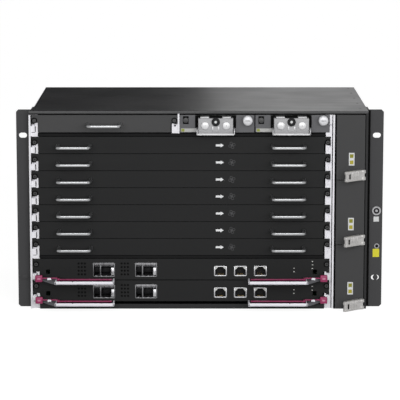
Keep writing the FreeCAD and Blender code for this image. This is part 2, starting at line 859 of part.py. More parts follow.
def port_shields(z0):
    cages = [module_cage(index, z0) for index in range(2)]
    return cages + [network_jack(index, z0) for index in range(PORT_COUNT)]


def eject_lever(z0):
    """A flat cast lever: eye, widening arm and a shallow open channel."""
    low = z0 + LEVER_Z
    top = low + LEVER_T
    x = lever_pivot_x
    y = out(LEVER_PIVOT_OUT)
    start = card_left + LEVER_START_X
    end = card_left + LEVER_END_X
    tail = card_left + LEVER_TAIL_X
    outline = [(tail, out(LEVER_PIVOT_OUT)), (tail, out(LEVER_TAIL_OUT))]
    outline += [(x + LEVER_SHOULDER, out(LEVER_TAIL_OUT)), (start, out(LEVER_OUT)), (end, out(LEVER_OUT))]
    outline += [(end, out(LEVER_BACK_OUT)), (start, out(LEVER_BACK_OUT))]
    outline.append((x + LEVER_HEEL_X, y + LEVER_HEEL_Y))
    blade = join([plan_prism(outline, low, top), plan_prism(many_sided(KNURLS, x, y, LEVER_EYE_R), low, top)])
    channel = block(start + LEVER_WALL, end - LEVER_WALL, out(LEVER_OUT - LEVER_WALL),
                    out(LEVER_BACK_OUT) + 1, low + LEVER_FLOOR, top + 1)
    bore = rod_z(x, y, low - 1, top + 1, PIN_R + RUN_CLEAR)
    stop_x = card_left + LEVER_STOP_X
    stop_out = lock_back_out + LOCK_NECK_W + LEVER_STOP_GAP
    stop = block(stop_x, stop_x + LEVER_STOP_W, out(stop_out + LEVER_STOP_D), out(stop_out), top - 1,
                 top + LEVER_STOP_H)
    return join([blade.cut([channel, bore]), stop])


def lever_lock(z0):
    """A moulded slide: the button, a neck over the arm, and a bar in the channel."""
    low = z0 + LEVER_Z
    top = low + LEVER_T
    x0 = card_left + LOCK_BUTTON_X
    x1 = x0 + LOCK_BUTTON_W
    button = block(x0, x1, out(lock_back_out + LOCK_BUTTON_T), out(lock_back_out), low, low + LOCK_BUTTON_H)
    caps = [e for e in button.Edges if e.BoundBox.YLength > 1]
    button = button.makeChamfer(LOCK_CHAMFER, caps)
    neck_low = top + SEAT_GAP
    neck_top = neck_low + LOCK_NECK_T
    start = card_left + LEVER_START_X + LEVER_WALL + LOCK_START_GAP
    end = card_left + LEVER_END_X - LEVER_WALL - LOCK_END_GAP
    near = out(lock_back_out + LOCK_CLEAR)
    far = out(lock_back_out + LOCK_NECK_W)
    bar_low = low + LEVER_FLOOR + LOCK_CLEAR
    neck = block(x1 - LOCK_CHAMFER, start + LOCK_RISER, far, near, neck_low, neck_top)
    riser = block(start, start + LOCK_RISER, far, near, bar_low, neck_top)
    bar = block(start, end, out(lock_back_out + LOCK_BAR_W), near, bar_low, bar_low + LOCK_BAR_T)
    return join([button, neck, riser, bar])


def save_board(name, z0):
    z = screw_z(z0, BOARD_H)
    screws = [captive_screw(x, z) for x in (card_left + SCREW_INSET, card_right - SCREW_INSET)]
    save(name + "_panel", board_panel(z0), *screws)
    save(name + "_circuit_board", board_pcb(z0))
    save(name + "_port_shields", *port_shields(z0))
    lever = eject_lever(z0)
    lock = lever_lock(z0)
    save(name + "_lever_left", lever)
    save(name + "_lever_right", mirrored(lever))
    save(name + "_lock_left", lock)
    save(name + "_lock_right", mirrored(lock))


# Power modules


def terminal_mid(x0):
    return x0 + POWER_W / 2 - TERMINAL_SHIFT


def power_panel(x0):
    z0 = top_base
    face = block(x0, x0 + POWER_W, panel_face, panel_back, z0, row_top)
    cutters = [rod_y(x0 + knob_x, front - 1, panel_back + 1, z0 + KNOB_Z, KNOB_SHANK_R + RUN_CLEAR)]
    recess_x = x0 + POWER_SCREW_X
    half = POWER_RECESS_W / 2
    rise = POWER_RECESS_H / 2
    deep = panel_face + PANEL_T / 2
    z = z0 + POWER_SCREW_Z
    cutters.append(block(recess_x - half, recess_x + half, front - 1, deep, z - rise, z + rise))
    mid = terminal_mid(x0)
    cutters.append(block(mid - guard_w / 2, mid + guard_w / 2, front - 1, panel_back + 1, z0 + POWER_SILL,
                         row_top + 1))
    return face.cut(cutters)


def power_case(x0):
    low = top_base + POWER_CASE_T
    wide = rail_right_in - SIDE_GAP - power_left[1] - POWER_CASE_T
    start = x0 + POWER_CASE_T
    case = block(start, start + wide, panel_back, card_end, low, row_top - POWER_CASE_T)
    mid = terminal_mid(x0)
    deep = panel_back + TERMINAL_PLUG + SEAT_GAP
    bay = block(mid - guard_w / 2, mid + guard_w / 2, panel_back - 1, deep, low - 1, row_top + 1)
    return case.cut(bay)


def terminal_block(x0):
    """The moulded block on its folded guard, with two tabs back to the panel."""
    z0 = top_base
    mid = terminal_mid(x0)
    half = TERMINAL_W / 2
    guard_low = z0 - GUARD_DROP
    body_top = row_top - TERMINAL_TOP_DROP
    body_low = guard_low + TERMINAL_FOOT
    pieces = [block(mid - half, mid + half, out(TERMINAL_PROUD), panel_face, body_low, body_top)]
    plug_low = z0 + POWER_SILL + SEAT_GAP
    plug_end = panel_back + TERMINAL_PLUG
    pieces.append(block(mid - half, mid + half, panel_face, plug_end, plug_low, body_top))
    wide = guard_w / 2
    pieces.append(block(mid - wide, mid + wide, out(GUARD_PROUD), panel_face, guard_low, guard_low + GUARD_T))
    lip_y = out(GUARD_PROUD)
    pieces.append(block(mid - wide, mid + wide, lip_y, lip_y + GUARD_T, guard_low, guard_low + GUARD_LIP_H))
    for side in (-1, 1):
        x = mid + side * (wide - GUARD_T / 2)
        cheek = block(x - GUARD_T / 2, x + GUARD_T / 2, out(GUARD_PROUD), panel_face, guard_low,
                      guard_low + GUARD_CHEEK_H)
        pieces.append(cheek)
        tab_x = mid + side * TAB_SPACING / 2
        tab = block(tab_x - TAB_W / 2, tab_x + TAB_W / 2, out(TERMINAL_PROUD - TAB_SET), panel_back, body_top,
                    body_top + TAB_T)
        pieces.append(tab)
    return join(pieces)


def terminal_screws(x0):
    mid = terminal_mid(x0)
    face = out(TERMINAL_PROUD)
    screws = []
    for side in (-1, 1):
        x = mid + side * TERMINAL_SCREW_SPACING / 2
        z = top_base + TERMINAL_SCREW_Z
        head = many_sided(ROUND_SIDES, x, z, TERMINAL_SCREW_R)
        screws.append(front_prism(head, face - TERMINAL_SCREW_T, face))
    z = top_base + COLLAR_Z
    collar = front_prism(many_sided(ROUND_SIDES, mid, z, COLLAR_R), face - COLLAR_T, face)
    bore = front_prism(many_sided(KNURLS, mid, z, COLLAR_BORE_R), face - COLLAR_T - 1, face - COLLAR_FLOOR)
    screws.append(collar.cut(bore))
    return screws


def thumbscrew(x0):
    x = x0 + knob_x
    z = top_base + KNOB_Z
    near = panel_face - KNOB_STAND
    far = near - KNOB_L
    knob = front_prism(many_sided(ROUND_SIDES, x, z, KNOB_R), far, near)
    rim = [e for e in knob.Edges if e.BoundBox.YMax < far + 0.01]
    knob = knob.makeChamfer(KNOB_CHAMFER, rim)
    shank = rod_y(x, near, panel_back, z, KNOB_SHANK_R)
    return join([knob, shank])


def save_power(name, x0):
    screw = captive_screw(x0 + POWER_SCREW_X, top_base + POWER_SCREW_Z, panel_face + PANEL_T / 2)
    save(name + "_panel", power_panel(x0), screw)
    save(name + "_case", power_case(x0))
    save(name + "_terminal_block", terminal_block(x0), *terminal_screws(x0))
    save(name + "_thumbscrew", thumbscrew(x0))


# Fan modules


def fan_base(index):
    return RAIL_FOOT + index * fan_pitch


def fan_struts(y, z, x1):
    """Four arms and the motor seat on the outlet side of a fan frame."""
    seat = side_prism(many_sided(KNURLS, y, z, FAN_HUB_R), x1 - FAN_STRUT, x1)
    arm = fan_bore_r + 1
    half = FAN_STRUT / 2
    level = block(x1 - FAN_STRUT, x1, y - arm, y + arm, z - half, z + half)
    upright = block(x1 - FAN_STRUT, x1, y - half, y + half, z - arm, z + arm)
    return [seat, level, upright]


def fan_blades(y, z, x_mid):
    """Cambered blades, set at a pitch round the hub."""
    half = fan_chord / 2
    rise = FAN_BLADE_CAMBER + FAN_BLADE_T
    section = [(-half, 0), (0, FAN_BLADE_CAMBER), (half, 0), (half, FAN_BLADE_T), (0, rise)]
    section.append((-half, FAN_BLADE_T))
    blade = plan_prism(section, FAN_HUB_R - FAN_BLADE_ROOT, fan_bore_r - FAN_TIP_GAP)
    blade.rotate(Vector(0, 0, 0), Vector(0, 0, 1), FAN_BLADE_PITCH)
    blades = []
    for turn in range(FAN_BLADES):
        copy = blade.copy()
        copy.rotate(Vector(0, 0, 0), Vector(1, 0, 0), turn * 360.0 / FAN_BLADES)
        copy.translate(Vector(x_mid, y, z))
        blades.append(copy)
    return blades


def fan_rotor(y, z, x_mid):
    half = fan_hub_l / 2
    hub = side_prism(many_sided(ROUND_SIDES, y, z, FAN_HUB_R), x_mid - half, x_mid + half)
    rotor = join([hub] + fan_blades(y, z, x_mid))
    bore = rod_x(x_mid, x_mid + fan_hub_l, y, z, FAN_SPINDLE_R + RUN_CLEAR)
    return rotor.cut(bore)


def fan_rotor_x():
    """Middle of the rotor: half-way between the open side and the struts."""
    return fan_x - FAN_STRUT / 2


def fan_frame(y, z, low, high):
    x0 = fan_x - FAN_FRAME_T / 2
    x1 = fan_x + FAN_FRAME_T / 2
    half = fan_frame_side / 2
    frame = block(x0, x1, y - half, y + half, low, high)
    frame = frame.cut(side_prism(many_sided(FAN_BORE_SIDES, y, z, fan_bore_r), x0 - 1, x1 + 1))
    return [frame] + fan_struts(y, z, x1)


def fan_housing(index):
    z0 = fan_base(index) + FAN_CLEAR / 2
    z1 = fan_base(index + 1) - FAN_CLEAR / 2
    mid = fan_middle(index)
    in0 = fan_left + FAN_FACE_LIP
    in1 = fan_right - FAN_FACE_LIP
    low = z0 + fan_tray_rise
    high = z1 - FAN_FACE_LIP
    rear = front + FAN_DEPTH
    pieces = [block(fan_left, fan_right, front - FAN_FACE_T, front, z0, z1)]
    pieces.append(block(in0, in1, front, rear, low, low + FAN_TRAY_T))
    pieces.append(block(in0, in1, front, rear, high - FAN_TRAY_T, high))
    pieces.append(block(in0, in1, rear - FAN_TRAY_T, rear, low, high))
    pieces.append(block(in0, in1, front, front + FAN_TRAY_T, low, high))
    pieces += fan_frame(front + FAN_CENTRE, mid, low, high)
    spindle_end = fan_x + FAN_FRAME_T / 2
    pieces.append(rod_x(fan_rotor_x() + FAN_SPINDLE_SET, spindle_end, front + FAN_CENTRE, mid, FAN_SPINDLE_R))
    pieces.append(latch_lug(z0))
    return join(pieces)


def fan_middle(index):
    """Height of the rotor's axis: the middle of the module's tray."""
    return (fan_base(index) + fan_base(index + 1) + fan_tray_rise - FAN_FACE_LIP) / 2


def latch_lug(z0):
    """The lug on the face that enters the latch's fork and holds its pin."""
    mid = z0 + LATCH_BASE + LATCH_H / 2
    y = out(latch_pivot_out)
    x = latch_pivot_x
    half = LATCH_LUG_T / 2
    wide = LATCH_LUG_W / 2
    lug = block(x - wide, x + wide, y, front - FAN_FACE_T / 2, mid - half, mid + half)
    nose = plan_prism(many_sided(8, x, y, wide), mid - half, mid + half)
    bore = rod_z(x, y, mid - half - 1, mid + half + 1, LATCH_PIN_R + RUN_CLEAR)
    return join([lug, nose]).cut(bore)


def fan_latch(index):
    """A cast lever that leans out from the face, ribbed where a thumb pulls."""
    low = fan_base(index) + FAN_CLEAR / 2 + LATCH_BASE
    top = low + LATCH_H
    x = latch_pivot_x
    y = out(latch_pivot_out)
    tip = x - LATCH_REACH
    near = out(latch_pivot_out + LATCH_EYE_R)
    far = out(LATCH_TIP_OUT)
    back_tip = out(LATCH_TIP_OUT - LATCH_TIP_T)
    shoulder = (x - LATCH_SHOULDER, near - LATCH_SHOULDER_DROP)
    outline = [(x, near), shoulder, (tip + LATCH_TIP_SET, far), (tip, far + LATCH_TIP_DROP)]
    outline += [(tip + LATCH_TIP_LEAN, back_tip), (tip + LATCH_BACK_X, back_tip + LATCH_BACK_Y)]
    outline += [(x - LATCH_WAIST_X, y + LATCH_WAIST_Y), (x - LATCH_HEEL_X, y + LATCH_HEEL_Y)]
    lever = join([plan_prism(outline, low, top), plan_prism(many_sided(KNURLS, x, y, LATCH_EYE_R), low, top)])
    mid = low + LATCH_H / 2
    half = latch_fork / 2
    fork_y = near - 2 * LATCH_SHOULDER_DROP
    fork = block(x - LATCH_FORK_D, x + LATCH_EYE_R + 1, fork_y, front, mid - half, mid + half)
    pin = rod_z(x, y, mid - half - 1, mid + half + 1, LATCH_PIN_R)
    lean = math.degrees(math.atan2(shoulder[1] - far, shoulder[0] - tip - LATCH_TIP_SET))
    cutters = [fork] + latch_grooves(lean, shoulder, low, top)
    lever = join([lever.cut(cutters), pin])
    corners = [e for e in lever.Edges if is_tip_corner(e, tip, back_tip)]
    return lever.makeChamfer(LATCH_CHAMFER, corners)


def is_tip_corner(edge, tip, back_tip):
    """Level edges along the end of the tip, where the real latch is chamfered."""
    box = edge.BoundBox
    return box.XMax < tip + LATCH_TIP_LEAN + 0.1 and box.ZLength < 0.01 and box.YLength > 1.0


def latch_grooves(lean, start, low, top):
    """Upright grooves between the thumb ribs, and the dark eyelet by the tip."""
    cutters = []
    for rib in range(LATCH_RIBS):
        along = LATCH_RIB_START + rib * LATCH_RIB_PITCH
        cutters.append(block(-along - LATCH_RIB, -along, -1, LATCH_RIB_D, low + LATCH_RIB_MARGIN,
                             top - LATCH_RIB_MARGIN))
    middle = (low + top) / 2
    along = LATCH_RIB_START + LATCH_EYELET_SET + LATCH_RIBS * LATCH_RIB_PITCH
    half = LATCH_EYELET_H / 2
    cutters.append(block(-along - LATCH_EYELET_W, -along, -1, LATCH_EYELET_D, middle - half, middle + half))
    for cutter in cutters:
        cutter.rotate(Vector(0, 0, 0), Vector(0, 0, 1), lean)
        cutter.translate(Vector(start[0], start[1], 0))
    return cutters


def save_fan(name, index):
    y = front + FAN_CENTRE
    save(name + "_housing", fan_housing(index))
    save(name + "_rotor", fan_rotor(y, fan_middle(index), fan_rotor_x()))
    save(name + "_latch", fan_latch(index))


# The whole chassis

os.makedirs("parts", exist_ok=True)
save("bottom_panel", bottom_panel())
save("top_cover", top_cover())
save("side_panel_left", side_panel_left())
save("side_panel_right", side_panel_right())
save("rear_panel", rear_panel())
save("fan_bay_wall", fan_bay_wall())
save("rack_ear_left", rack_ear(-1))
save("rack_ear_right", rack_ear_right(), strap_jack())
save("card_rail_left", card_rail(1), *card_guides(1))
save("card_rail_right", card_rail(-1), *card_guides(-1))
save("cage_shelves", shelf(lower_shelf), shelf(upper_shelf))
save("bay_divider", bay_divider())
save("backplane", backplane(), *connectors())
for number in range(SLOT_COUNT):
    base = slot_base + (SLOT_COUNT - 1 - number) * slot_pitch
    save_filler("filler_%d" % (number + 1), card_left, card_right, base, SLOT_H, 2)
save_filler("half_filler", card_left, divider_left - SIDE_GAP, top_base, TOP_ROW_H, 1)
save_board("board_upper", board_base + board_pitch)
save_board("board_lower", board_base)
save_power("power_1", power_left[0])
save_power("power_2", power_left[1])
for number in range(FAN_COUNT):
    save_fan("fan_%d" % (number + 1), FAN_COUNT - 1 - number)
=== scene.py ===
import math

import bmesh
import bpy
from mathutils import Matrix, Vector


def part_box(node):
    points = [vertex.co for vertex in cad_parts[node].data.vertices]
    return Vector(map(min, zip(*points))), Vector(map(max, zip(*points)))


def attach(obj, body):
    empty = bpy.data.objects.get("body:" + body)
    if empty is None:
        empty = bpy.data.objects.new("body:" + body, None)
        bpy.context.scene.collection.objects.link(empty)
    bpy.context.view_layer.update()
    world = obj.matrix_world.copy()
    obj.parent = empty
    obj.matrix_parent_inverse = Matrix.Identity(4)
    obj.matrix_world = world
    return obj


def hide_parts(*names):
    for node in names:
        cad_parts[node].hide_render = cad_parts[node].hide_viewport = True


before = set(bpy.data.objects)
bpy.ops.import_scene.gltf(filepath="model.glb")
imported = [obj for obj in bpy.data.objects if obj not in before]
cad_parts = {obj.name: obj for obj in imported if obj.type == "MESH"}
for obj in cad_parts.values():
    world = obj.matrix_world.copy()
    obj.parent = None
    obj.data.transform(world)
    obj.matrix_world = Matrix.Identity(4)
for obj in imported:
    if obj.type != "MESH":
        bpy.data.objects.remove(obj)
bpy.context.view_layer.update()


# Shell: a cover, a base and two vented side walls, folded from steel and powder
# coated dark grey, round a bare zinc-plated rear sheet and fan bay wall. Small
# screws along the edges hold it together.


class Wire:
    """A level that changes over a surface and joins in sums like a number."""

    def __init__(self, nodes, socket):
        self.nodes = nodes
        self.socket = socket

    def _sum(self, kind, *terms):
        return self.nodes.node("Math", {"operation": kind}, dict(enumerate(terms)))

    def __add__(self, other):
        return self._sum("ADD", self, other)

    def __mul__(self, other):
        return self._sum("MULTIPLY", self, other)

    def __sub__(self, other):
        return self._sum("SUBTRACT", self, other)

    def __rsub__(self, other):
        return self._sum("SUBTRACT", other, self)

    __radd__ = __add__
    __rmul__ = __mul__

    def above(self, level, soft):
        """0 below the level and 1 above it, with a soft step between."""
        reach = {"Value": self, "From Min": level - soft, "From Max": level + soft}
        return self.nodes.node("MapRange", {"interpolation_type": "SMOOTHSTEP"}, reach)


class Nodes:
    """A tree of shader nodes that grows by one call for each node."""

    def __init__(self, tree):
        self.tree = tree

    def node(self, kind, settings, sockets, output=0):
        """Adds a node: its settings first, then its sockets' values and links."""
        made = self.tree.nodes.new("ShaderNode" + kind)
        for name, value in settings.items():
            setattr(made, name, value)
        for name, value in sockets.items():
            if isinstance(value, Wire):
                self.tree.links.new(value.socket, made.inputs[name])
            else:
                made.inputs[name].default_value = value
        return Wire(self, made.outputs[output])

    def blend(self, a, b, share):
        """Colour a where the share is 0 and colour b where it is 1."""
        a, b = [(*c, 1) if isinstance(c, tuple) else c for c in (a, b)]
        return self.node("Mix", {"data_type": "RGBA"}, {0: share, 6: a, 7: b}, 2)


class Paint(Nodes):
    """A finish, with short calls for the textures that feed its shader."""

    def __init__(self, name, rough, metal=0.0, specular=0.5, coat=0.0):
        self.material = bpy.data.materials.new(name)
        self.material.use_nodes = True
        super().__init__(self.material.node_tree)
        self.shader = self.tree.nodes["Principled BSDF"]
        self.shader.inputs["Roughness"].default_value = rough
        self.shader.inputs["Metallic"].default_value = metal
        self.shader.inputs["Specular IOR Level"].default_value = specular
        self.shader.inputs["Coat Weight"].default_value = coat
        self.place = self.node("TexCoord", {}, {}, "Object")

    def _spread(self, size, stretch):
        """The place on the piece, in units of a pattern of this size in millimetres."""
        scale = [1000 / (size * s) for s in stretch]
        return self.node("Mapping", {}, {"Vector": self.place, "Scale": scale})

    def clouds(self, size, detail=2.0, stretch=(1, 1, 1)):
        """Even noise; the size is the breadth of a cloud."""
        place = self._spread(size, stretch)
        return self.node("TexNoise", {}, {"Vector": place, "Scale": 1.0, "Detail": detail}, "Fac")

    def cells(self, size, stretch=(1, 1, 1)):
        """A random level for each cell of a broken pattern."""
        place = self._spread(size, stretch)
        hue = self.node("TexVoronoi", {}, {"Vector": place, "Scale": 1.0}, "Color")
        return self.node("SeparateColor", {}, {0: hue})

    def along(self, axis):
        """The position along an axis, in millimetres."""
        return self.node("SeparateXYZ", {}, {0: self.place}, "XYZ".index(axis)) * 1000.0

    def shade(self, colour, share, spread):
        """The colour, darker and lighter by the spread as the share goes."""
        dark = tuple(c * (1 - spread) for c in colour)
        light = tuple(c * (1 + spread) for c in colour)
        return self.blend(dark, light, share)

    def wear(self, colour, rough, metal=None):
        """Feeds the colour, the roughness and, if given, the share of metal."""
        feeds = {"Base Color": colour, "Roughness": rough, "Metallic": metal}
        for name, wire in feeds.items():
            if wire:
                self.tree.links.new(wire.socket, self.shader.inputs[name])

    def relief(self, height, depth, strength=1.0):
        """Raises the surface by the depth, in millimetres, where the height is 1."""
        sockets = {"Height": height, "Distance": depth / 1000, "Strength": strength}
        normal = self.node("Bump", {}, sockets)
        self.tree.links.new(normal.socket, self.shader.inputs["Normal"])


def powder_coat(name, colour, rough, grain=0.9, spread=0.12, specular=0.12):
    """Baked powder paint: a fine orange-peel grain and faint broad clouds."""
    paint = Paint(name, rough, specular=specular)
    cloud = paint.clouds(70)
    speck = paint.clouds(grain, 3.0)
    rub = paint.clouds(16, 4.0, (9, 1, 1)).above(0.62, 0.1)
    tone = cloud * 0.5 + speck * 0.5
    paint.wear(paint.shade(colour, tone, spread), rough + 0.16 * (cloud - 0.5) - 0.05 * rub)
    paint.relief(speck, 0.06, 0.35)
    return paint.material


def zinc_plate(name, level):
    """Zinc-plated sheet with its frosty spangle and rolling marks."""
    paint = Paint(name, 0.42, metal=0.85)
    spangle = paint.cells(5, (1.4, 1, 1))
    rolled = paint.clouds(2.0, 3.0, (1, 14, 14))
    tone = spangle * 0.6 + rolled * 0.4
    hue = (level, level * 1.01, level * 1.03)
    paint.wear(paint.shade(hue, tone, 0.22), 0.36 + 0.2 * tone)
    paint.relief(rolled, 0.03, 0.3)
    return paint.material


def plain(name, colour, rough, metal=0.0, grain=0.6, spread=0.08, specular=0.5, coat=0.0):
    """A moulded, plated or printed finish: fine grain and slight unevenness."""
    paint = Paint(name, rough, metal, specular, coat)
    speck = paint.clouds(grain, 3.0)
    cloud = paint.clouds(14)
    tone = speck * 0.4 + cloud * 0.6
    paint.wear(paint.shade(colour, tone, spread), rough + 0.12 * (tone - 0.5))
    paint.relief(speck, 0.03, 0.3)
    return paint.material


# An edge that turns by more than these angles is shaded hard, or rounded.
CREASE = math.radians(32)
CORNER = math.radians(35)


def dress(material, nodes, edge=0.3):
    """Gives CAD nodes their finish and rounds their sheet edges by the radius."""
    for name in nodes:
        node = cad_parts[name]
        node.data.materials.clear()
        node.data.materials.append(material)
        node.modifiers.new("joined", "WELD").merge_threshold = 0.00001
        flat = node.modifiers.new("flat", "DECIMATE")
        flat.decimate_type = "DISSOLVE"
        flat.angle_limit = math.radians(1)
        rim = node.modifiers.new("rim", "BEVEL")
        rim.width = edge / 1000
        rim.segments = 2
        rim.angle_limit = CREASE
        node.modifiers.new("shine", "WEIGHTED_NORMAL")


def span(node):
    """Lowest and highest corner of a CAD node, in millimetres."""
    return [[v * 1000 for v in corner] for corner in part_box(node)]


class Shape:
    """A mesh being built in millimetres; each call adds one form in the current paint."""

    def __init__(self, paint, paints=None):
        self.bm = bmesh.new()
        self.paint = paint
        self.paints = [] if paints is None else paints

    def _place(self, axis, a, b, c=0.0):
        """A point given by its place across an axis and its height along it."""
        return Vector({"X": (c, a, b), "Y": (a, c, b), "Z": (a, b, c)}[axis])

    def _coat(self, faces):
        """Gives faces the current paint, which gets its slot on first use."""
        if self.paint not in self.paints:
            self.paints.append(self.paint)
        for face in faces:
            face.material_index = self.paints.index(self.paint)

    def _take(self, verts, edge, steps=2):
        """Paints the newest form and rounds its sharp edges."""
        faces = list(dict.fromkeys(f for v in verts for f in v.link_faces))
        self._coat(faces)
        if not edge:
            return
        bmesh.ops.recalc_face_normals(self.bm, faces=faces)
        edges = dict.fromkeys(e for f in faces for e in f.edges)
        sharp = [e for e in edges if e.calc_face_angle(0) > CORNER]
        bmesh.ops.bevel(self.bm, geom=sharp, offset=edge, segments=steps, profile=0.5,
                        affect="EDGES", material=-1, clamp_overlap=True)

    def block(self, x0, x1, y0, y1, z0, z1, edge=0.25, steps=2):
        """A box between two planes on each axis."""
        middle = Vector(((x0 + x1) / 2, (y0 + y1) / 2, (z0 + z1) / 2))
        size = Matrix.Diagonal((abs(x1 - x0), abs(y1 - y0), abs(z1 - z0), 1))
        made = bmesh.ops.create_cube(self.bm, size=1.0, matrix=Matrix.Translation(middle) @ size)
        self._take(made["verts"], edge, steps)

    def rod(self, axis, a, b, c0, c1, r, edge=0.25, sides=32):
        """A round bar along an axis; a and b are its place across it."""
        turn = {"X": Matrix.Rotation(math.pi / 2, 4, "Y"), "Y": Matrix.Rotation(-math.pi / 2, 4, "X"),
                "Z": Matrix.Identity(4)}[axis]
        middle = Matrix.Translation(self._place(axis, a, b, (c0 + c1) / 2))
        made = bmesh.ops.create_cone(self.bm, cap_ends=True, segments=sides, radius1=r, radius2=r,
                                     depth=abs(c1 - c0), matrix=middle @ turn)
        self._take(made["verts"], edge)

    def turned(self, axis, a, b, profile, sides=40):
        """A lathe-turned form: a run of (radius, height) from pole to pole.

        A run that starts off the axis is closed and gives a ring.
        """
        before = set(self.bm.faces)
        line = self._place(axis, 0, 0, 1)
        across = self._place(axis, 0, 1)
        centre = self._place(axis, a, b)
        verts = [self.bm.verts.new(centre + across * r + line * c) for r, c in profile]
        following = verts[1:] + verts[:1] if profile[0][0] else verts[1:]
        edges = [self.bm.edges.new(pair) for pair in zip(verts, following)]
        bmesh.ops.spin(self.bm, geom=verts + edges, cent=centre, axis=line, angle=math.tau,
                       steps=sides, use_merge=True)
        touched = dict.fromkeys(v for f in self.bm.faces if f not in before for v in f.verts)
        bmesh.ops.remove_doubles(self.bm, verts=list(touched), dist=0.001)
        self._coat([f for f in self.bm.faces if f not in before])

    def stud(self, x, z, face, run, sides=40):
        """A turned form on the front; its run holds (radius, rise out of the face)."""
        self.turned("Y", x, z, [(r, face - rise) for r, rise in run], sides)

    def prism(self, axis, points, c0, c1, edge=0.25, steps=2):
        """A flat outline raised along an axis."""
        verts = [self.bm.verts.new(self._place(axis, a, b, c0)) for a, b in points]
        made = bmesh.ops.extrude_face_region(self.bm, geom=[self.bm.faces.new(verts)])
        moved = [v for v in made["geom"] if isinstance(v, bmesh.types.BMVert)]
        bmesh.ops.translate(self.bm, verts=moved, vec=self._place(axis, 0, 0, c1 - c0))
        self._take(verts + moved, edge, steps)

    def add(self, other, place):
        """Takes in another shape that shares its paints, set in its place."""
        bmesh.ops.transform(other.bm, matrix=place, verts=other.bm.verts)
        mesh = bpy.data.meshes.new("part")
        other.bm.to_mesh(mesh)
        self.bm.from_mesh(mesh)
        bpy.data.meshes.remove(mesh)
        other.bm.free()

    def finish(self, name, body, replaced=(), place=None):
        """Turns the forms into one object that rides on a body."""
        if place:
            bmesh.ops.transform(self.bm, matrix=place, verts=self.bm.verts)
        bmesh.ops.recalc_face_normals(self.bm, faces=self.bm.faces)
        bmesh.ops.scale(self.bm, vec=(0.001, 0.001, 0.001), verts=self.bm.verts)
        mesh = bpy.data.meshes.new(name)
        self.bm.to_mesh(mesh)
        self.bm.free()
        for paint in self.paints:
            mesh.materials.append(paint)
        mesh.shade_smooth()
        mesh.set_sharp_from_angle(angle=CREASE)
        piece = bpy.data.objects.new(name, mesh)
        bpy.context.scene.collection.objects.link(piece)
        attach(piece, body)
        if replaced:
            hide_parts(*replaced)


def socket_screw(shape, axis, a, b, face, out, r=2.6):
    """A low button head with a round drive socket; out is the way it faces."""
    run = [(0, -0.2), (r, -0.2), (r, 0.3), (0.8 * r, 0.75), (0.42 * r, 0.85), (0.38 * r, 0.2), (0, 0.2)]
    shape.turned(axis, a, b, [(d, face + out * h) for d, h in run], sides=20)


def even(first, last, count):
    """Evenly spaced places from the first to the last."""
    return [first + (last - first) * i / (count - 1) for i in range(count)]


SHELL = powder_coat("shell_coat", (0.036, 0.036, 0.0375), 0.40, specular=0.4)
BASE = powder_coat("base_coat", (0.026, 0.026, 0.027), 0.5)
ZINC = zinc_plate("zinc_sheet", 0.42)
BOLT = plain("black_zinc", (0.05, 0.05, 0.055), 0.35, metal=0.8)
dress(SHELL, ["top_cover"], edge=0.5)
dress(BASE, ["bottom_panel", "side_panel_left", "side_panel_right"], edge=0.5)
dress(ZINC, ["rear_panel", "fan_bay_wall"])

(LEFT, FRONT, _), (RIGHT, REAR, TOP) = span("top_cover")
COVER_EDGE = 9.0
COVER_FIRST = 24.0
COVER_DIMPLE = 0.6
REAR_EDGE = 14.0
REAR_ROW = 8.0
REAR_SIDE = 6.0
REAR_RISE = 62.0
edging = Shape(BOLT)
for y in even(FRONT + COVER_FIRST, REAR - REAR_EDGE, 5):
    for x in (LEFT + COVER_EDGE, RIGHT - COVER_EDGE):
        socket_screw(edging, "Z", x, y, TOP - COVER_DIMPLE, 1)
for x in even(LEFT + REAR_EDGE, RIGHT - REAR_EDGE, 7):
    for z in (REAR_ROW, TOP - REAR_ROW):
        socket_screw(edging, "Y", x, z, REAR, 1)
for z in even(REAR_RISE, TOP - REAR_RISE, 3):
    for x in (LEFT + REAR_SIDE, RIGHT - REAR_SIDE):
        socket_screw(edging, "Y", x, z, REAR, 1)
edging.finish("shell_screws", "chassis")


# Rack ears: folded steel brackets, bolted to the sides, with two slots each and
# plugs in the lower ones. The right one carries a wrist-strap jack, two blank plates
# and an eyelet whose hole is a dark disc of painted shade. Thin black strips paint the shade in the gaps
# beside the ears and the fans.

EAR = powder_coat("ear_coat", (0.060, 0.060, 0.062), 0.55)
STEEL = plain("bright_steel", (0.62, 0.62, 0.63), 0.28, metal=1.0, grain=0.8)
BLACK = plain("black_plastic", (0.008, 0.008, 0.009), 0.55, specular=0.15)
# Near-black paint for painted shade: strips, dots and patches where gaps, grooves, recesses and uncut
# holes show only shade.
PAINTED_SHADE = plain("painted_shade_dark", (0.004, 0.004, 0.004), 0.8, specular=0.05)
PLATE_WHITE = plain("plate_white", (0.72, 0.73, 0.73), 0.5, spread=0.03, specular=0.2)
PLATE_YELLOW = plain("plate_yellow", (0.76, 0.70, 0.045), 0.5, spread=0.04, specular=0.2)
GREY = plain("jack_grey", (0.38, 0.38, 0.39), 0.4, metal=0.2)
dress(EAR, ["rack_ear_left", "rack_ear_right"], edge=0.5)

EAR_SHEET = 2.0
EAR_FACE = FRONT + 15.0
EAR_BOLT_EDGE = 9.0
EAR_BOLT_END = 16.0
SEAT = 0.1
ear_low, ear_high = span("rack_ear_right")
bolt_y = ear_high[1] - EAR_BOLT_EDGE
ear_bolts = Shape(BOLT)
for side in (-1, 1):
    for z in even(ear_low[2] + EAR_BOLT_END, ear_high[2] - EAR_BOLT_END, 6):
        socket_screw(ear_bolts, "X", bolt_y, z, side * (RIGHT + EAR_SHEET), side, r=3.2)
ear_bolts.finish("ear_bolts", "chassis")

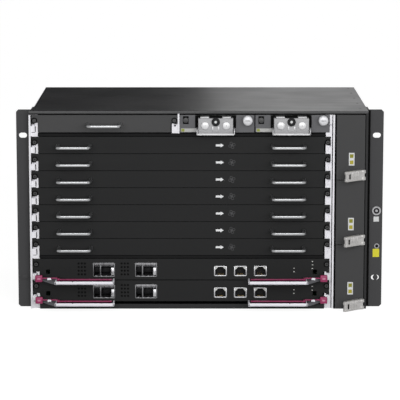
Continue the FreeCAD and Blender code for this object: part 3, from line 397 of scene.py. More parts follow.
JACK_X = 233.2
JACK_Z = 129.5
jack = Shape(GREY)
jack.stud(JACK_X, JACK_Z, EAR_FACE, [(3.7, 0), (3.7, 2.2), (4.1, 2.8), (5.6, 2.8), (6.0, 2.3), (6.0, 0)])
jack.paint = BLACK
jack.stud(JACK_X, JACK_Z, EAR_FACE, [(1.9, 0), (1.9, 2.51), (3.8, 2.51), (3.8, 0)])
jack.paint = GREY
jack.stud(JACK_X, JACK_Z, EAR_FACE, [(0, 0), (0, 2.55), (1.3, 2.6), (1.9, 2.2), (1.9, 0)])
jack.finish("strap_jack_rim", "chassis")

PLATE_RISE = 0.2
EYELET_X = 234.3
EYELET_Z = 81.8
ear_plates = Shape(PLATE_WHITE)
for paint, x0, x1, z0, z1 in ((PLATE_WHITE, 229.6, 236.7, 114.6, 121.4),
                              (PLATE_YELLOW, 229.0, 237.7, 66.9, 78.0)):
    ear_plates.paint = paint
    ear_plates.block(x0, x1, EAR_FACE - PLATE_RISE, EAR_FACE + SEAT, z0, z1, edge=0.12, steps=1)
ear_plates.paint = GREY
ear_plates.stud(EYELET_X, EYELET_Z, EAR_FACE, [(2.1, 0), (2.2, 0.5), (3.2, 0.5), (3.5, 0)], sides=28)
# The eyelet's hole is not cut: a thin dark disc on the face paints its shade.
ear_plates.paint = PAINTED_SHADE
ear_plates.stud(EYELET_X, EYELET_Z, EAR_FACE, [(0, -SEAT), (0, 0.1), (2.2, 0.1), (2.2, -SEAT)], sides=28)
ear_plates.finish("ear_plates", "chassis")

# Thin black strips on the ear faces beside the body, and in the gaps beside the fans, are painted shade.
SHADE_STRIP_SIDE = 220.02
SHADE_STRIP_RISE = 0.15
gap_shade_strips = Shape(PAINTED_SHADE)
for x0, x1, drop in ((SHADE_STRIP_SIDE, 224.1, 1), (-225.0, -SHADE_STRIP_SIDE, 4)):
    gap_shade_strips.block(x0, x1, EAR_FACE - SHADE_STRIP_RISE, EAR_FACE + SEAT, 1, TOP - drop, edge=0)
for x0, x1, near, far in ((216.1, 217.3, 0.3, 1.5), (176.95, 178.6, 5.4, 7.15)):
    gap_shade_strips.block(x0, x1, FRONT + near, FRONT + far, 1.6, TOP - 4, edge=0.2)
gap_shade_strips.finish("gap_shade_strips", "chassis")

SLOT_X = 232.55
SLOT_Z = 39.4
SLOT_R = 3.38
SLOT_SHIFT = 1.85
PLUG_BACK = EAR_FACE + 1.8
turns = [math.pi * i / 12 for i in range(13)]
outline = [(side * (SLOT_SHIFT + SLOT_R * math.sin(t)) - SLOT_X, side * SLOT_R * math.cos(t) + SLOT_Z)
           for side in (1, -1) for t in turns]
plugs = Shape(EAR)
plugs.rod("Y", SLOT_X + 0.4, SLOT_Z, EAR_FACE + 0.2, PLUG_BACK, SLOT_R, edge=0.3)
plugs.prism("Y", outline, EAR_FACE + SEAT, PLUG_BACK, edge=0.2)
plugs.finish("slot_plugs", "chassis")


# White die-cast rails frame the card bay, with a block, a slot and a strip for each
# row, and thin black strips that paint the shade in the grooves where they meet.
# Grey nylon guides lead back from them, and black folded shelves part the rows.


def cast_white(name, colour, back=None):
    """Enamel on a casting; behind the back plane it turns to grey nylon."""
    paint = Paint(name, 0.4, specular=0.3, coat=0.1)
    grit = paint.clouds(0.7, 4.0)
    flow = paint.clouds(9)
    hue = paint.shade(colour, flow * 0.7 + grit * 0.3, 0.03)
    if back is not None:
        guide = paint.along("Y").above(back, 0.05)
        hue = paint.blend(hue, paint.shade((0.20, 0.20, 0.21), flow, 0.08), guide)
    paint.wear(hue, 0.4 + 0.14 * (grit - 0.5))
    paint.relief(grit, 0.08, 0.4)
    return paint.material


RAIL_WHITE = (0.92, 0.91, 0.95)
RAIL_FACE = FRONT + 2.2
RAIL_BACK = FRONT + 7.3
dress(cast_white("rail_enamel", RAIL_WHITE, RAIL_BACK), ["card_rail_left", "card_rail_right"])
dress(cast_white("divider_enamel", RAIL_WHITE), ["bay_divider"])
dress(powder_coat("shelf_coat", (0.006, 0.006, 0.0064), 0.6, specular=0.08), ["cage_shelves"])

FILLERS = ["filler_%d" % i for i in range(1, 8)]
BOARDS = ["board_upper", "board_lower"]
# Thin black strips along the rail grooves and under each row's block are painted shade.
groove_shade = Shape(PAINTED_SHADE)
groove_shade.block(173.3, 174.55, RAIL_FACE - SEAT, RAIL_FACE + SEAT, 1, 258, edge=0)
for row in FILLERS + ["half_filler"] + BOARDS:
    row_low, row_high = span(row + "_panel")
    foot = row_low[2]
    for x0, x1, z0, z1 in ((-221.2, -220.1, foot + 8.2, row_high[2] + 0.6),
                           (-215.6, -214.7, foot + 0.2, foot + 8.0),
                           (-220.1, -215.6, foot - 0.5, foot + 0.2)):
        groove_shade.block(x0, x1, RAIL_FACE - SEAT, RAIL_FACE + SEAT, z0, z1, edge=0)
groove_shade.finish("rail_groove_shade", "chassis")


# Backplane: a green board across the rear of the card bay, with one long dark
# press-fit connector for each row.


def solder_mask(name, parted=None):
    """Green lacquer over copper runs; in front of a plane it is black moulding."""
    paint = Paint(name, 0.4, coat=0.3)
    runs = paint.cells(2.2, (9, 1, 1)).above(0.72, 0.03)
    pads = paint.cells(4.0).above(0.88, 0.02)
    mask = paint.blend((0.010, 0.075, 0.032), (0.016, 0.12, 0.05), runs)
    hue = paint.blend(mask, (0.55, 0.50, 0.36), pads)
    if parted is not None:
        hue = paint.blend((0.016, 0.016, 0.018), hue, paint.along("Y").above(parted, 0.05))
    paint.wear(hue, 0.34 + 0.2 * pads)
    paint.relief(runs, 0.05, 0.5)
    return paint.material


BACKPLANE_SHEET = 3.05
backplane_rear = span("backplane")[1][1]
dress(solder_mask("backplane_board", backplane_rear - BACKPLANE_SHEET), ["backplane"], edge=0.2)


# Seven slot fillers and a half-width one: a folded sheet panel with bent silver
# bows, a dark captive screw at each end and a small printed arrow and fan sign.

PANEL = powder_coat("panel_coat", (0.0185, 0.0187, 0.019), 0.5, grain=0.7, specular=0.08)
HALF = powder_coat("half_filler_coat", (0.062, 0.062, 0.063), 0.5, grain=0.7)
SILVER = plain("handle_metal", (0.30, 0.304, 0.31), 0.30, metal=0.9, grain=1.0, spread=0.03)
SCREW = plain("screw_black", (0.040, 0.040, 0.041), 0.4, specular=0.3)
INK = plain("white_ink", (0.86, 0.87, 0.88), 0.6, specular=0.2)
DIM_INK = plain("grey_ink", (0.085, 0.085, 0.088), 0.6, specular=0.1)
FACE = FRONT + 0.5
BOW_LENGTH = 46.2
BOW_REACH = 30.0
BOW_THICK = 4.2
BOW_TALL = 3.4
KNURLS = 20
INK_RISE = 0.08


def bow_run(half, far, radius):
    """Points along one side of a bow: a leg, a round bend, the grip and back."""
    turns = [math.pi / 2 * i / 8 for i in range(9)]
    run = [(-half, FACE)]
    run += [(-half + radius * (1 - math.cos(t)), far + radius * (1 - math.sin(t))) for t in turns]
    return run + [(-x, y) for x, y in reversed(run)]


def bows(name):
    """The two-bend handles of a filler, one smooth form for each CAD bow."""
    low, high = span(name + "_handles")
    middle = (low[2] + high[2]) / 2
    far = FRONT - BOW_REACH
    outer = bow_run(BOW_LENGTH / 2, far, 7.0)
    inner = bow_run(BOW_LENGTH / 2 - BOW_THICK, far + BOW_THICK, 4.9)
    places = [low[0] + BOW_LENGTH / 2]
    if high[0] - low[0] > 2 * BOW_LENGTH:
        places.append(high[0] - BOW_LENGTH / 2)
    shape = Shape(SILVER)
    for x in places:
        points = [(x + a, b) for a, b in outer + inner[::-1]]
        shape.prism("Z", points, middle - BOW_TALL / 2, middle + BOW_TALL / 2, edge=0.8, steps=3)
    shape.finish(name + "_bows", name, [name + "_handles"])


def captive_screws(name):
    """A knurled ring at each end of a panel, round a head with a socket; its near-black paint is partly
    its own colour and partly painted shade round the head.
    """
    low, high = span(name + "_panel")
    z = high[2] - 7.1
    ring = [(2.4, 0), (3.6, 0), (3.6, 2.2), (3.3, 2.6), (2.4, 2.6)]
    head = [(0, 0), (2.5, 0), (2.5, 2.6), (2.3, 2.85), (1.2, 2.85), (1.1, 1.6), (0, 1.6)]
    knurl_at = 3.55
    shape = Shape(PAINTED_SHADE)
    for x in (low[0] + 3.8, high[0] - 3.8):
        # The ring's near-black paint is partly the knurl's own colour and partly painted shade round the
        # head.
        shape.paint = PAINTED_SHADE
        shape.stud(x, z, FACE, ring, sides=28)
        for i in range(KNURLS):
            turn = math.tau * i / KNURLS
            shape.rod("Y", x + knurl_at * math.cos(turn), z + knurl_at * math.sin(turn), FACE - 2.1,
                      FACE - 0.2, 0.22, edge=0, sides=6)
        shape.paint = SCREW
        shape.stud(x, z, FACE, head, sides=28)
    shape.finish(name + "_captive_screws", name)


def signs(name):
    """A white arrow and a grey fan sign, printed as a thin raised layer."""
    low, high = span(name + "_panel")
    z = (low[2] + high[2]) / 2 - 0.3
    near = FACE - INK_RISE
    far = FACE + SEAT
    tail = 20.9
    neck = tail + 6.2
    tip = 31.4
    stem = 1.35
    barb = 2.6
    shape = Shape(INK)
    shape.prism("Y", [(tail, z - stem), (neck, z - stem), (neck, z - barb), (tip, z), (neck, z + barb),
                      (neck, z + stem), (tail, z + stem)], near, far, edge=0)
    shape.paint = DIM_INK
    hub = 41.9
    blade = 2.8
    shape.rod("Y", hub, z, near, far, 1.2, edge=0, sides=20)
    for i in range(4):
        turn = math.radians(20 + 90 * i)
        shape.stud(hub + blade * math.cos(turn), z + blade * math.sin(turn), FACE,
                   [(1.3, INK_RISE), (1.9, INK_RISE), (1.9, -SEAT), (1.3, -SEAT)], sides=20)
    shape.finish(name + "_signs", name)


for filler in FILLERS:
    dress(PANEL, [filler + "_panel"])
    bows(filler)
    captive_screws(filler)
    signs(filler)
dress(HALF, ["half_filler_panel"])
bows("half_filler")
captive_screws("half_filler")


# Two control boards. Each front has flat dark dots of painted shade for vent holes, two module
# cages, three network jacks, lamps, and a cast ejector lever with a magenta lock slide at both ends.

LEVER = cast_white("lever_enamel", (0.93, 0.92, 0.98))
ARM = powder_coat("lever_arm_coat", (0.10, 0.10, 0.11), 0.45, specular=0.3)
MAGENTA = plain("magenta_moulding", (0.31, 0.030, 0.108), 0.36, spread=0.05, specular=0.35)
SHIELD = plain("jack_shield", (0.38, 0.38, 0.39), 0.34, metal=0.9, grain=0.8)
CAGE = plain("cage_plate", (0.15, 0.15, 0.155), 0.36, metal=0.9, grain=0.8)
PINK = plain("pale_pink_print", (0.72, 0.38, 0.50), 0.5, specular=0.2)
GOLD = plain("gold_contact", (0.85, 0.62, 0.26), 0.3, metal=1.0)
LAMP = plain("lamp_lens", (0.60, 0.61, 0.58), 0.25, coat=0.3)
CHIP = plain("chip_epoxy", (0.02, 0.02, 0.021), 0.45, specular=0.3)
PORT_FACE = FRONT - 0.1
CAGE_WIDE = 29.0
CAGE_TALL = 18.8
CAGE_DEEP = 47.8
JACK_WIDE = 17.0
JACK_TALL = 13.7
JACK_STEP = 26.4


def lever_place(name, side):
    """Where a lever's own shape goes: its tail, the front plane and its foot."""
    low, high = span(name)
    tail = low[0] if side > 0 else high[0]
    return Matrix.Translation((tail, FRONT, low[2])) @ Matrix.Diagonal((side, -1, 1, 1))


def lever(name, side):
    """A cast lever: a grey arm round its pivot and a pale channel as the grip.

    Its own run is along x from the tail, y out from the front, z up.
    """
    arm = [(0, 6), (0, 11.8), (8.5, 11.8), (25.7, 35), (27, 35), (27, 14), (25.5, 14), (7.5, 2.7),
           (4.5, 1.5), (1.2, 3)]
    start = 25.5
    end = 103.4
    near = 14
    far = 35
    wall = 2.0
    floor = 1.3
    tall = 4.2
    shape = Shape(ARM)
    shape.prism("Z", arm, 0, tall, edge=0.5)
    shape.paint = LEVER
    shape.block(start, end, near, far, 0, floor, edge=0.4)
    shape.block(start, end, far - wall, far, 0, tall, edge=0.55, steps=3)
    shape.block(start, start + wall, near, far, 0, tall, edge=0.4)
    shape.block(end - wall, end, near, far, 0, tall, edge=0.5)
    shape.block(15.5, 20.5, 19.5, 23.5, 3.6, 6.4, edge=0.5)
    # A thin black sheet on the channel floor paints the shade in the channel.
    shape.paint = PAINTED_SHADE
    shape.block(start + wall - SEAT, end - wall + SEAT, near + SEAT, far - wall + SEAT, floor - SEAT,
                floor + 0.15, edge=0)
    shape.block(48.6, 49.8, far - 0.4, far + 0.02, tall - 0.6, tall + 0.02, edge=0)
    shape.paint = MAGENTA
    shape.block(19.3, 21.0, 20.3, 22.7, 5.9, 6.9, edge=0.25)
    shape.finish(name + "_casting", name, [name], lever_place(name, side))


def lock(name, side, lever_name):
    """The magenta slide: a thumb button, its neck and a long bar in the channel."""
    near = 14.3
    far = 18.0
    bar_start = 28.0
    neck_end = 31.0
    shape = Shape(MAGENTA)
    shape.block(-0.8, 8.7, 14, 18.5, 0, 9.0, edge=1.1, steps=3)
    shape.block(7.7, neck_end, near, far, 4.4, 5.7, edge=0.3)
    shape.block(bar_start, neck_end, near, far, 1.6, 5.7, edge=0.3)
    shape.block(bar_start, 99.9, near, 19.0, 2.6, 3.9, edge=0.3)
    for x in (44, 60, 76, 92):
        shape.block(x - 3, x + 3, 15.5, far, 3.8, 4.05, edge=0.15, steps=1)
    shape.paint = PINK
    for z in (3.9, 5.1):
        shape.block(1.9, 6.1, 18.35, 18.6, z - 0.35, z + 0.35, edge=0.12, steps=1)
    shape.finish(name + "_slide", name, [name], lever_place(lever_name, side))


def mouth(shape, x0, x1, z0, z1, deep, wall, floor, roof):
    """Four plated walls round an opening, from the front back."""
    for a, b in ((x0, x0 + wall), (x1 - wall, x1)):
        shape.block(a, b, PORT_FACE, PORT_FACE + deep, z0, z1, edge=0.3)
    for a, b in ((z0, z0 + floor), (z1 - roof, z1)):
        shape.block(x0, x1, PORT_FACE, PORT_FACE + deep, a, b, edge=0.3)


def cage(shape, x0, z0):
    """A plated cage: thin walls with a rolled mouth, spring fingers and a post."""
    y0 = PORT_FACE
    y1 = y0 + CAGE_DEEP
    x1 = x0 + CAGE_WIDE
    z1 = z0 + CAGE_TALL
    fingers = 4
    pitch = 6.6
    shape.paint = CAGE
    mouth(shape, x0, x1, z0, z1, deep=CAGE_DEEP, wall=1, floor=1, roof=1)
    for i in range(fingers):
        start = x0 + 3.0 + i * pitch
        shape.block(start, start + 2.6, y0 - 0.05, y0 + 8, z0 + 0.9, z0 + 1.6, edge=0.2)
    shape.block(x0 + 9.0, x0 + 10.6, y0 + 3, y1 - 1, z0 + 1, z1 - 1, edge=0.2)
    # The rolled roof fingers take the lighter jack metal while the floor fingers keep the darker cage
    # metal: painted light on the lit slanted roof of one plated cage.
    shape.paint = SHIELD
    rolled = [(y0 + 0.2, z1 - 0.9), (y0 + 5, z1 - 5.7), (y0 + 5, z1 - 6.2), (y0 + 0.2, z1 - 1.5)]
    for i in range(fingers):
        start = x0 + 1.4 + i * pitch
        shape.prism("X", rolled, start, start + 6.2, edge=0.08, steps=1)
    shape.block(x1 - 5.2, x1 - 1, y0 + 1, y0 + 13, z0 + 2, z0 + 12, edge=0.5)
    shape.block(x1 - 4.6, x1 - 1.6, y0 + 0.8, y0 + 1.4, z0 + 4, z0 + 10, edge=0.2)
    shape.paint = BLACK
    shape.block(x0 + 1, x1 - 1, y1 - 1.4, y1 - 1.0, z0 + 1, z1 - 1, edge=0)
    shape.block(x0 + 1.1, x0 + 9.0, y0 + 14, y0 + 30, z0 + 3, z0 + 11, edge=0.4)
    shape.block(x0 + 11, x1 - 6, y0 + 18, y0 + 40, z0 + 2.2, z0 + 9, edge=0.5)


def network_jack(shape, x0, z0):
    """A shielded network jack with its key, contacts and two small lamps."""
    y0 = PORT_FACE
    x1 = x0 + JACK_WIDE
    z1 = z0 + JACK_TALL
    middle = (x0 + x1) / 2
    floor = z0 + 1.4
    roof = z1 - 1.2
    near = y0 + 0.5
    far = y0 + 15
    shape.paint = SHIELD
    mouth(shape, x0, x1, z0, z1, deep=20, wall=1.5, floor=1.4, roof=1.2)
    for side in (-1, 1):
        spring = middle + side * 8.45
        shape.block(spring - 0.25, spring + 0.25, y0 + 3, y0 + 9, z0 + 4, z0 + 9, edge=0.2)
    shape.paint = BLACK
    shape.block(x0 + 1.3, x0 + 2.3, near, far, floor, roof, edge=0.1)
    shape.block(x1 - 2.3, x1 - 1.3, near, far, floor, roof, edge=0.1)
    for side in (-1, 1):
        a = middle + side * 3.2
        b = middle + side * 7.2
        shape.block(min(a, b), max(a, b), near, far, z0 + 9.2, roof, edge=0.15)
    shape.block(x0 + 1.4, x1 - 1.4, far - 0.5, far + 0.5, floor, roof, edge=0)
    shape.paint = GOLD
    for i in range(8):
        x = middle + (i - 3.5) * 1.02
        shape.block(x - 0.2, x + 0.2, y0 + 3.0, y0 + 12, z0 + 1.9, z0 + 2.3, edge=0.08, steps=1)
    shape.paint = LAMP
    corners = ((2.9, 1.1), (7.1, 1.1), (7.1, 4.8), (6.2, 4.8))
    for side in (-1, 1):
        lens = [(middle + side * a, z1 - b) for a, b in corners]
        shape.prism("Y", lens, y0 + 0.3, y0 + 1.0, edge=0.15, steps=1)


def board_front(name):
    """Everything that shows on a board's front panel."""
    low, high = span(name + "_panel")
    x0 = low[0]
    z0 = high[2] - 28.1
    ports = Shape(CAGE)
    for middle in (93.2, 148.8):
        cage(ports, x0 + middle - CAGE_WIDE / 2, z0 + 3.9)
    for port in range(3):
        network_jack(ports, x0 + 247.1 + port * JACK_STEP - JACK_WIDE / 2, z0 + 4.7)
    ports.finish(name + "_ports", name, [name + "_port_shields"])
    # The vent holes are not cut: each is a flat dark dot of painted shade.
    rim = [(0, -0.05), (0, 0.03), (1.2, 0.03), (1.35, 0.1), (1.45, -0.05)]
    hole_shade_dots = Shape(PAINTED_SHADE)
    for first in (59.8, 116.6):
        for column in range(3):
            for row in range(4):
                hole_shade_dots.stud(x0 + first + column * 4.15, z0 + 7.1 + row * 4.9, FACE, rim, sides=16)
    hole_shade_dots.finish(name + "_vent_hole_shade", name)
    lamps = Shape(LAMP)
    for across, up in ((344.3, 15.4), (344.3, 10.6), (368.6, 24.6), (368.6, 19.9), (368.6, 14.9)):
        x = x0 + across
        z = z0 + up
        lamps.block(x - 0.9, x + 0.9, FACE - 0.25, FACE + 0.3, z - 0.55, z + 0.55, edge=0.2)
    lamps.finish(name + "_lamps", name)


def board_parts(name):
    """Chips, a finned heat sink and capacitors on the circuit board."""
    low, high = span(name + "_circuit_board")
    deck = high[2] - 0.1
    chips = ((90, 120, 34, 34), (150, 96, 22, 22), (150, 140, 22, 22), (305, 110, 30, 30),
             (250, 150, 16, 26), (60, 178, 16, 10), (120, 178, 16, 10), (340, 170, 24, 12))
    shape = Shape(CHIP)
    for x, y, wide, deep in chips:
        left = low[0] + x
        near = low[1] + y
        shape.block(left, left + wide, near, near + deep, deck, deck + 2.4, edge=0.35)
    shape.paint = STEEL
    sink = 40
    left = low[0] + 200
    near = low[1] + 100
    shape.block(left, left + sink, near, near + sink, deck + 2, deck + 4, edge=0.3)
    for fin in range(10):
        start = left + 0.6 + fin * 4.2
        shape.block(start, start + 1.2, near, near + sink, deck + 3.8, deck + 15, edge=0.3)
    can = [(0, 0), (4, 0), (4.1, 0.8), (3.8, 1.4), (4.1, 2), (4.1, 10.2), (3.7, 10.8), (0, 10.8)]
    for i in range(6):
        x = low[0] + 270 + i * 13
        shape.turned("Z", x, low[1] + 205, [(r, deck + rise) for r, rise in can], sides=24)
    shape.finish(name + "_parts", name)


for board in BOARDS:
    dress(PANEL, [board + "_panel"])
    dress(solder_mask(board + "_mask"), [board + "_circuit_board"], edge=0.2)
    captive_screws(board)
    board_front(board)
    board_parts(board)
    for side, turn in (("left", 1), ("right", -1)):
        lever(board + "_lever_" + side, turn)
        lock(board + "_lock_" + side, turn, board + "_lever_" + side)


# Power modules: a grey panel on a closed zinc case, a moulded terminal block in a
# folded guard with two pan-head terminal screws, and a turned thumbscrew.

POWER = powder_coat("power_coat", (0.137, 0.137, 0.144), 0.5)
MOULDING = plain("terminal_moulding", (0.44, 0.44, 0.45), 0.5, grain=0.9, spread=0.06, specular=0.25)
GUARD = plain("guard_plate", (0.50, 0.50, 0.51), 0.42, metal=0.3)
TAG = plain("tag_grey", (0.50, 0.50, 0.49), 0.55, spread=0.1, specular=0.2)
TAG_FIELD = plain("tag_green", (0.30, 0.33, 0.07), 0.55, spread=0.1, specular=0.2)
PLATED = plain("screw_plate", (0.66, 0.66, 0.67), 0.38, metal=0.25, grain=0.5)
CLAMP_X = 13.8
GUARD_HALF = 24.8
GUARD_REACH = 20.0
GUARD_SHEET = 1.3


def turned_metal(name, colour):
    """Bright turned metal with fine rings round its axis."""
    paint = Paint(name, 0.4, metal=0.25)
    rings = paint.clouds(0.5, 2.0, (6, 1, 6))
    paint.wear(paint.shade(colour, rings, 0.08), 0.36 + 0.15 * rings)
    paint.relief(rings, 0.03, 0.4)
    return paint.material


TURNED = turned_metal("turned_aluminium", (0.60, 0.60, 0.62))


def guard(shape, middle, foot, top):
    """The folded sheet round a block: a floor, a lip, two cheeks and two tabs."""
    left = middle - GUARD_HALF
    right = middle + GUARD_HALF
    near = FRONT - GUARD_REACH
    back = FRONT + 0.4
    shape.paint = GUARD
    shape.block(left, right, near, back, foot, foot + GUARD_SHEET, edge=0.3)
    shape.block(left, right, near, near + GUARD_SHEET, foot, foot + 2.4, edge=0.35)
    cheek = [(back, foot), (near, foot), (near, foot + 6.4), (near + 1.8, foot + 8), (back, foot + 8)]
    for side in (-1, 1):
        start = middle + side * GUARD_HALF
        shape.prism("X", cheek, start, start - side * GUARD_SHEET, edge=0.3)
        tab = middle + side * 14.3
        shape.block(tab - 5.7, tab + 5.7, FRONT - 13, FRONT + 1.9, top, top + 1.5, edge=0.35)


def terminal_block(name):
    """The block in its guard, with two clamping screws and the test socket."""
    low, high = span(name + "_terminal_block")
    middle = (low[0] + high[0]) / 2
    foot = low[2]
    face = FRONT - 14.0
    back = face + 1
    top = foot + 21.5
    shape = Shape(MOULDING)
    shape.block(middle - 22.6, middle + 22.6, face, FRONT + 8, foot + 0.6, top, edge=0.5)
    for side in (-1, 1):
        x = middle + side * CLAMP_X
        shape.block(x - 7.6, x + 7.6, face - 0.25, back, foot + 3.4, foot + 20.2, edge=0.2)
    shape.block(middle - 4.4, middle + 4.4, face - 0.7, back, foot + 2.6, foot + 10.6, edge=0.6)
    shape.block(middle - 3.2, middle + 3.2, face - 1.0, face, foot + 4.2, foot + 6.6, edge=0.4)
    shape.paint = PLATED
    for side in (-1, 1):
        x = middle + side * 3.9
        shape.block(x - 0.7, x + 0.7, face - 1.1, face, foot + 6.8, foot + 10.8, edge=0.25)
    guard(shape, middle, foot, top)
    head = [(0, 0), (5.4, 0), (5.4, 1.1), (4.9, 2.3), (3.6, 2.9), (0, 3.0)]
    z = foot + 12.2
    for side in (-1, 1):
        x = middle + side * CLAMP_X
        shape.paint = PLATED
        shape.stud(x, z, face, head, sides=36)
        # Each cross recess is a thin flat cross in the darker guard metal, painted shade for the recess.
        shape.paint = GUARD
        for wide, tall in ((2.2, 0.3), (0.3, 2.2)):
            shape.block(x - wide, x + wide, face - 3.02, face - 2.6, z - tall, z + tall, edge=0)
    shape.paint = BLACK
    shape.block(middle - 22.2, middle + 22.2, face + 0.8, FRONT + 7.8, top - 0.3, top + 0.1, edge=0)
    z = foot + 16.8
    rim = [(0, 0), (5.5, 0), (5.5, 1.4), (5.1, 1.8), (2.7, 1.8), (2.6, 0.5), (0, 0.5)]
    shape.stud(middle, z, face, rim, sides=32)
    shape.paint = PLATE_WHITE
    shape.stud(middle, z, face, [(0, 0.4), (1.8, 0.4), (1.8, 0.9), (1.5, 1.2), (0, 1.2)], sides=20)
    shape.finish(name + "_terminals", name, [name + "_terminal_block"])


def thumbscrew(name):
    """A knurled knob with five grooves and a driver slot drawn as a thin black bar of painted shade, on a
    thin shank.
    """
    node = name + "_thumbscrew"
    low, high = span(node)
    x = (low[0] + high[0]) / 2
    z = (low[2] + high[2]) / 2
    near = FACE - 2.5
    far = near - 9.0
    shank_end = FRONT + 1.9
    profile = [(0, far), (4.6, far), (5.2, far + 0.25)]
    for groove in range(5):
        y = far + 0.9 + groove * 1.5
        profile += [(6.15, y), (6.15, y + 0.9), (5.9, y + 1.1), (5.9, y + 1.3)]
    profile += [(6.1, near - 0.4), (5.7, near), (2.5, near), (2.5, shank_end), (0, shank_end)]
    shape = Shape(TURNED)
    shape.turned("Y", x, z, profile, sides=48)
    # The driver slot is a flat black bar: painted shade.
    shape.paint = BLACK
    shape.block(x - 3.2, x + 3.2, far - 0.02, far + 0.2, z - 0.35, z + 0.35, edge=0)
    shape.finish(name + "_knob", node, [node])


def power_front(name):
    """The captive screw in its oval recess, whose shade is a painted black patch, a blank tag and a black
    surround.
    """
    low, high = span(name + "_panel")
    block_low, block_high = span(name + "_terminal_block")
    middle = (block_low[0] + block_high[0]) / 2
    x = low[0] + 7.6
    z = low[2] + 16.2
    head = [(0, -0.6), (3.55, -0.6), (3.55, 2.1), (3.3, 2.6), (2.3, 2.8), (0, 2.8)]
    shape = Shape(SCREW)
    shape.stud(x, z, FACE, head, sides=28)
    # A thin black patch behind the screw paints the shade of its oval recess.
    shape.paint = PAINTED_SHADE
    shape.block(x - 3.7, x + 3.7, FACE + 0.68, FACE + 0.78, z - 5.2, z + 5.2, edge=0)
    shape.block(middle - 26.8, middle + 26.8, FACE - 0.06, FACE + 0.04, low[2] + 6, high[2] - 0.2, edge=0)
    shape.paint = TAG
    shape.block(low[0] + 1.2, low[0] + 21.6, FACE - 0.18, FACE + SEAT, low[2] + 0.7, low[2] + 5.3,
                edge=0.12, steps=1)
    shape.paint = TAG_FIELD
    shape.block(low[0] + 1.8, low[0] + 5.8, FACE - 0.24, FACE, low[2] + 1.2, low[2] + 4.8, edge=0)
    shape.finish(name + "_captive_screw", name)


for power in ("power_1", "power_2"):
    dress(POWER, [power + "_panel"])
    dress(ZINC, [power + "_case"])
    terminal_block(power)
    thumbscrew(power)
    power_front(power)


# Fan modules: a tall grey face over a zinc tray with an axial fan, and a cast
# latch with thumb ribs that swings out on a pin at the right edge.


def fan_coat(name, tray_y):
    """Grey powder coat on the face; behind a plane it turns to bare zinc."""
    paint = Paint(name, 0.52, specular=0.15)
    cloud = paint.clouds(70)
    speck = paint.clouds(0.9, 3.0)
    tone = cloud * 0.5 + speck * 0.5
    tray = paint.along("Y").above(tray_y, 0.05)
    face = paint.shade((0.053, 0.053, 0.054), tone, 0.12)
    zinc = paint.shade((0.42, 0.424, 0.43), paint.cells(5, (1.4, 1, 1)), 0.2)
    paint.wear(paint.blend(face, zinc, tray), 0.52 + 0.16 * (cloud - 0.5) - 0.1 * tray, 0.85 * tray)
    paint.relief(speck, 0.06, 0.35)
    return paint.material


def cast_zinc(name, colour):
    """A bare casting: fine grit and soft pools left by the flow of metal."""
    paint = Paint(name, 0.45, metal=0.3)
    grit = paint.clouds(0.8, 4.0)
    pools = paint.clouds(5)
    paint.wear(paint.shade(colour, grit * 0.5 + pools * 0.5, 0.16), 0.4 + 0.22 * (grit - 0.5))
    paint.relief(grit, 0.12, 0.5)
    return paint.material


FAN = fan_coat("fan_coat", FRONT + 0.1)
CAST = cast_zinc("latch_casting", (0.46, 0.45, 0.44))
OLIVE = plain("olive_print", (0.26, 0.25, 0.03), 0.55, specular=0.2)
OCHRE = plain("ochre_print", (0.42, 0.36, 0.04), 0.55, specular=0.2)
FAN_FACE = FRONT - 1.5
PIN_Y = FRONT - 6.3
LATCH_TALL = 13.4
KNUCKLE = 4.3
BLADE_LEAN = math.atan2(15.0, 18.0)
RIBS = 5
RIB_STEP = 2.7


def latch(name):
    """A cast thumb latch: knuckle, leaning blade, web, bridge, ribs, a dark patch of painted shade for an
    eyelet, and pin.
    """
    low, high = span(name)
    x = high[0] - 4.2
    foot = low[2]
    top = foot + LATCH_TALL
    root = (x - 4, FRONT - 12.0)
    blade = [(x - 0.5, FRONT - 10.5), root, (x - 22, FRONT - 27), (x - 25, FRONT - 24.5),
             (x - 23.8, FRONT - 20), (x - 19, FRONT - 16.5), (x - 6, FRONT - 4.3), (x - 2, FRONT - 2.7)]
    web = [(x - 7.5, FRONT - 14.6), (x - 22, FRONT - 26.4), (x - 24.2, FRONT - 24.2),
           (x - 23.2, FRONT - 20), (x - 19, FRONT - 17.0), (x - 7.2, FRONT - 5.8)]
    bridge = [(x - 8.5, FRONT - 14.9), root, (x - 0.5, FRONT - 10.6), (x + 2.3, FRONT - 9.8),
              (x - 7.3, FRONT - 9.8)]
    shape = Shape(CAST)
    for z0, z1 in ((foot, foot + KNUCKLE), (top - KNUCKLE, top)):
        shape.prism("Z", blade, z0, z1, edge=0.9, steps=3)
        shape.rod("Z", x, PIN_Y, z0, z1, 4.2, edge=0.6, sides=36)
    shape.prism("Z", web, foot + 0.8, top - 0.8, edge=0.8, steps=3)
    shape.prism("Z", bridge, foot + 4.0, top - 4.0, edge=0)

    def on_blade(along):
        return root[0] - along * math.cos(BLADE_LEAN), root[1] - along * math.sin(BLADE_LEAN)

    for rib in range(RIBS):
        a, b = on_blade(3.2 + rib * RIB_STEP)
        shape.rod("Z", a + 0.25, b + 0.55, foot + 1.2, top - 1.2, 0.85, edge=0.25, sides=14)
    a, b = on_blade(17.6)
    # The eyelet is not cut: a flat dark block on the blade paints its shade.
    eyelet_shade = Shape(PAINTED_SHADE, shape.paints)
    eyelet_shade.block(-1.1, 1.1, -0.12, 0.8, foot + 3.4, top - 3.4, edge=0.1, steps=1)
    shape.add(eyelet_shade, Matrix.Translation((a, b, 0)) @ Matrix.Rotation(BLADE_LEAN, 4, "Z"))
    shape.paint = STEEL
    shape.rod("Z", x, PIN_Y, foot + 0.1, top - 0.1, 1.5, edge=0.2, sides=20)
    shape.finish(name + "_casting", name, [name])


